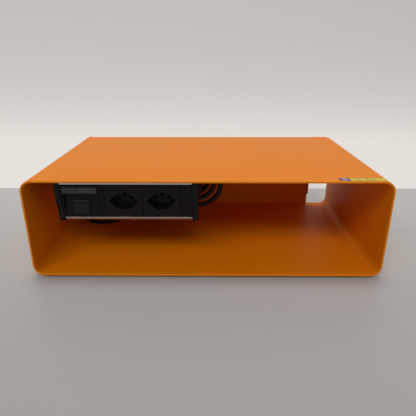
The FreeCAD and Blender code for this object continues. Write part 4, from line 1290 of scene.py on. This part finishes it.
# (radius, distance) along the neck, in millimetres.
NECK_PROFILE = [(0, 0), (4.2, 0), (4.6, 0.5), (5.1, 5), (5.8, 10), (6.9, 14.4), (0, 14.4)]
plug_place = Matrix.Translation(PLUG_END) @ Matrix.Rotation(PLUG_TURN, 4, "Z")
body = bmesh.new()
half_w, half_h = PLUG_HALF
prism_along_x(
    body,
    [
        (-half_w, 0), (-half_w + half_h, half_h), (half_w - half_h, half_h),
        (half_w, 0), (half_w - half_h, -half_h), (-half_w + half_h, -half_h),
    ],
    PLUG_NECK_L,
    PLUG_L,
)
round_edges(body, edges_along(body, (1, 0, 0)), PLUG_EDGE_R, 5)
ribs = bmesh.new()
for index in range(PLUG_RIBS):
    x = PLUG_NECK_L + RIB_START + RIB_STEP * index
    for side in (-1, 1):
        y = sorted((side * (half_w - RIB_DEEP), side * (half_w + 2 * MM)))
        box_between(ribs, (x, y[0], -half_h), (x + RIB_W, y[1], half_h))
body = combine(body, ribs, "DIFFERENCE")
neck = bmesh.new()
lathe(neck, [(r * MM, along * MM) for r, along in NECK_PROFILE], (0, 0, 0), (1, 0, 0), 32)
body = combine(body, neck, "UNION")
bmesh.ops.transform(body, matrix=plug_place, verts=body.verts)
plug = add_piece("plug", body, sheath, soften=0.5 * MM, replaces=["plug_body"])

nickel = Finish("nickel_plate", Metallic=1.0, Roughness=0.22)
nickel.set("Base Color", nickel.vary((0.72, 0.70, 0.66), 0.06, 300.0))
nickel.bump(nickel.noise(900.0), 0.00001)
pins = bmesh.new()
for y, z in ((-PIN_PITCH / 2, 0), (PIN_PITCH / 2, 0), (0, EARTH_RISE - MM)):
    lathe(
        pins,
        [
            (0, -MM), (PLUG_PIN_R, -MM), (PLUG_PIN_R, PLUG_PIN_L - 1.6 * MM),
            (PLUG_PIN_R - 0.5 * MM, PLUG_PIN_L - 0.5 * MM), (PLUG_PIN_R - 1.2 * MM, PLUG_PIN_L),
            (0, PLUG_PIN_L),
        ],
        (PLUG_L, y, z),
        (1, 0, 0),
        20,
    )
bmesh.ops.transform(pins, matrix=plug_place, verts=pins.verts)
plug_pins = add_piece("pins", pins, nickel, replaces=["plug_pins"])


# ---------------------------------------------------------------- cable tie
# A black nylon strap is drawn round the top runs of the hank and through its lock, and
# holds them up to a base that is stuck under the top.
strap_low, strap_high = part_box("tie_strap")
STRAP_T = 1.2 * MM
STRAP_OUTER_R = 3.0 * MM
STRAP_INNER_R = 2.0 * MM
LOCK_H = 3.8 * MM
LOCK_SIDE = 0.9 * MM
LOCK_Y = (-3.0 * MM, 2.5 * MM)
band_low = Vector((strap_low.x + LOCK_SIDE, strap_low.y, strap_low.z + LOCK_H))
band_high = Vector((strap_high.x - LOCK_SIDE, strap_high.y, strap_high.z))
band = bmesh.new()
box_between(band, band_low, band_high)
round_edges(band, edges_along(band, (1, 0, 0)), STRAP_OUTER_R, 6)
room = bmesh.new()
box_between(
    room,
    band_low + Vector((-MM, STRAP_T, STRAP_T)),
    band_high + Vector((MM, -STRAP_T, -STRAP_T)),
)
round_edges(room, edges_along(room, (1, 0, 0)), STRAP_INNER_R, 6)
band = combine(band, room, "DIFFERENCE")
lock = bmesh.new()
lock_y = (band_low.y + band_high.y) / 2
box_between(
    lock,
    (strap_low.x, lock_y + LOCK_Y[0], strap_low.z),
    (strap_high.x, lock_y + LOCK_Y[1], strap_low.z + LOCK_H + 0.4 * MM),
)
add_piece(
    "strap", combine(band, lock, "UNION"), black_plastic, soften=0.25 * MM,
    replaces=["tie_strap"],
)


# ---------------------------------------------------------------- carried-over parts
# Fixings, wiring, contacts and inner mouldings keep their modelled shape and get their
# real finishes: plated or drawn metal, waxy insulation and moulded plastic. The socket
# contacts are painted dark, as painted shade inside the pin holes. The earth wire is green
# below and yellow above.
def metal(name, colour, roughness, streak=(1.0, 1.0, 1.0)):
    """A plated or drawn metal with a fine change of gloss."""
    made = Finish(name, Metallic=1.0, Roughness=roughness)
    made.set("Base Color", made.vary(colour, 0.08, 260.0))
    made.set("Roughness", made.noise(800.0, 2.0, streak) * 0.16 + (roughness - 0.08))
    made.bump(made.noise(1800.0, 2.0, streak), 0.00001)
    return made


def insulation(name, colour):
    """Extruded wire insulation, smooth and slightly waxy."""
    made = Finish(name, Roughness=0.38)
    made.set("Base Color", made.vary(colour, 0.1, 200.0))
    made.bump(made.noise(1500.0), 0.00002)
    return made


earth_wire = Finish("green_yellow_wire", Roughness=0.38)
wire_low, wire_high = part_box("earth_wire")
stripe = earth_wire.axis("Z") > (wire_low.z + wire_high.z) / 2
earth_wire.set("Base Color", earth_wire.blend(stripe, (0.03, 0.30, 0.05, 1.0), (0.75, 0.62, 0.03, 1.0)))
earth_wire.bump(earth_wire.noise(1500.0), 0.00002)
zinc = metal("zinc_steel", (0.56, 0.58, 0.61), 0.36)
# The contacts are painted dark and dull, as painted shade inside the pin holes.
painted_shade_brass = metal("brass_contacts", (0.30, 0.20, 0.08), 0.55)
finishes = {
    "end_cap_screws": blackened,
    "flap_pin": metal("bright_pin", (0.55, 0.55, 0.55), 0.25, (0.05, 1.0, 1.0)),
    "flap_spring": metal("spring_steel", (0.035, 0.035, 0.035), 0.55, (4.0, 1.0, 1.0)),
    "data_jack": black_plastic,
    "data_jack_contacts": metal("gold_contacts", (0.85, 0.58, 0.18), 0.22),
    "socket_left_contacts": painted_shade_brass,
    "socket_right_contacts": painted_shade_brass,
    "socket_left_housing": grey_plastic,
    "socket_right_housing": grey_plastic,
    "line_wire": insulation("brown_wire", (0.11, 0.04, 0.015)),
    "neutral_wire": insulation("blue_wire", (0.02, 0.12, 0.42)),
    "earth_wire": earth_wire,
    "terminal_block": moulding("ivory_moulding", (0.62, 0.58, 0.46), 0.42),
    "cord_cores": insulation("core_insulation", (0.11, 0.04, 0.015)),
    "cord_clamp": grey_plastic,
    "clamp_screws": zinc,
    "hanger_bracket_left": zinc,
    "hanger_bracket_right": zinc,
    "bracket_screws": zinc,
    "weld_studs": zinc,
    "stud_nuts": zinc,
    "tie_base": black_plastic,
}
for node, finish in finishes.items():
    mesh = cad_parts[node].data
    mesh.materials.clear()
    mesh.materials.append(finish.material)
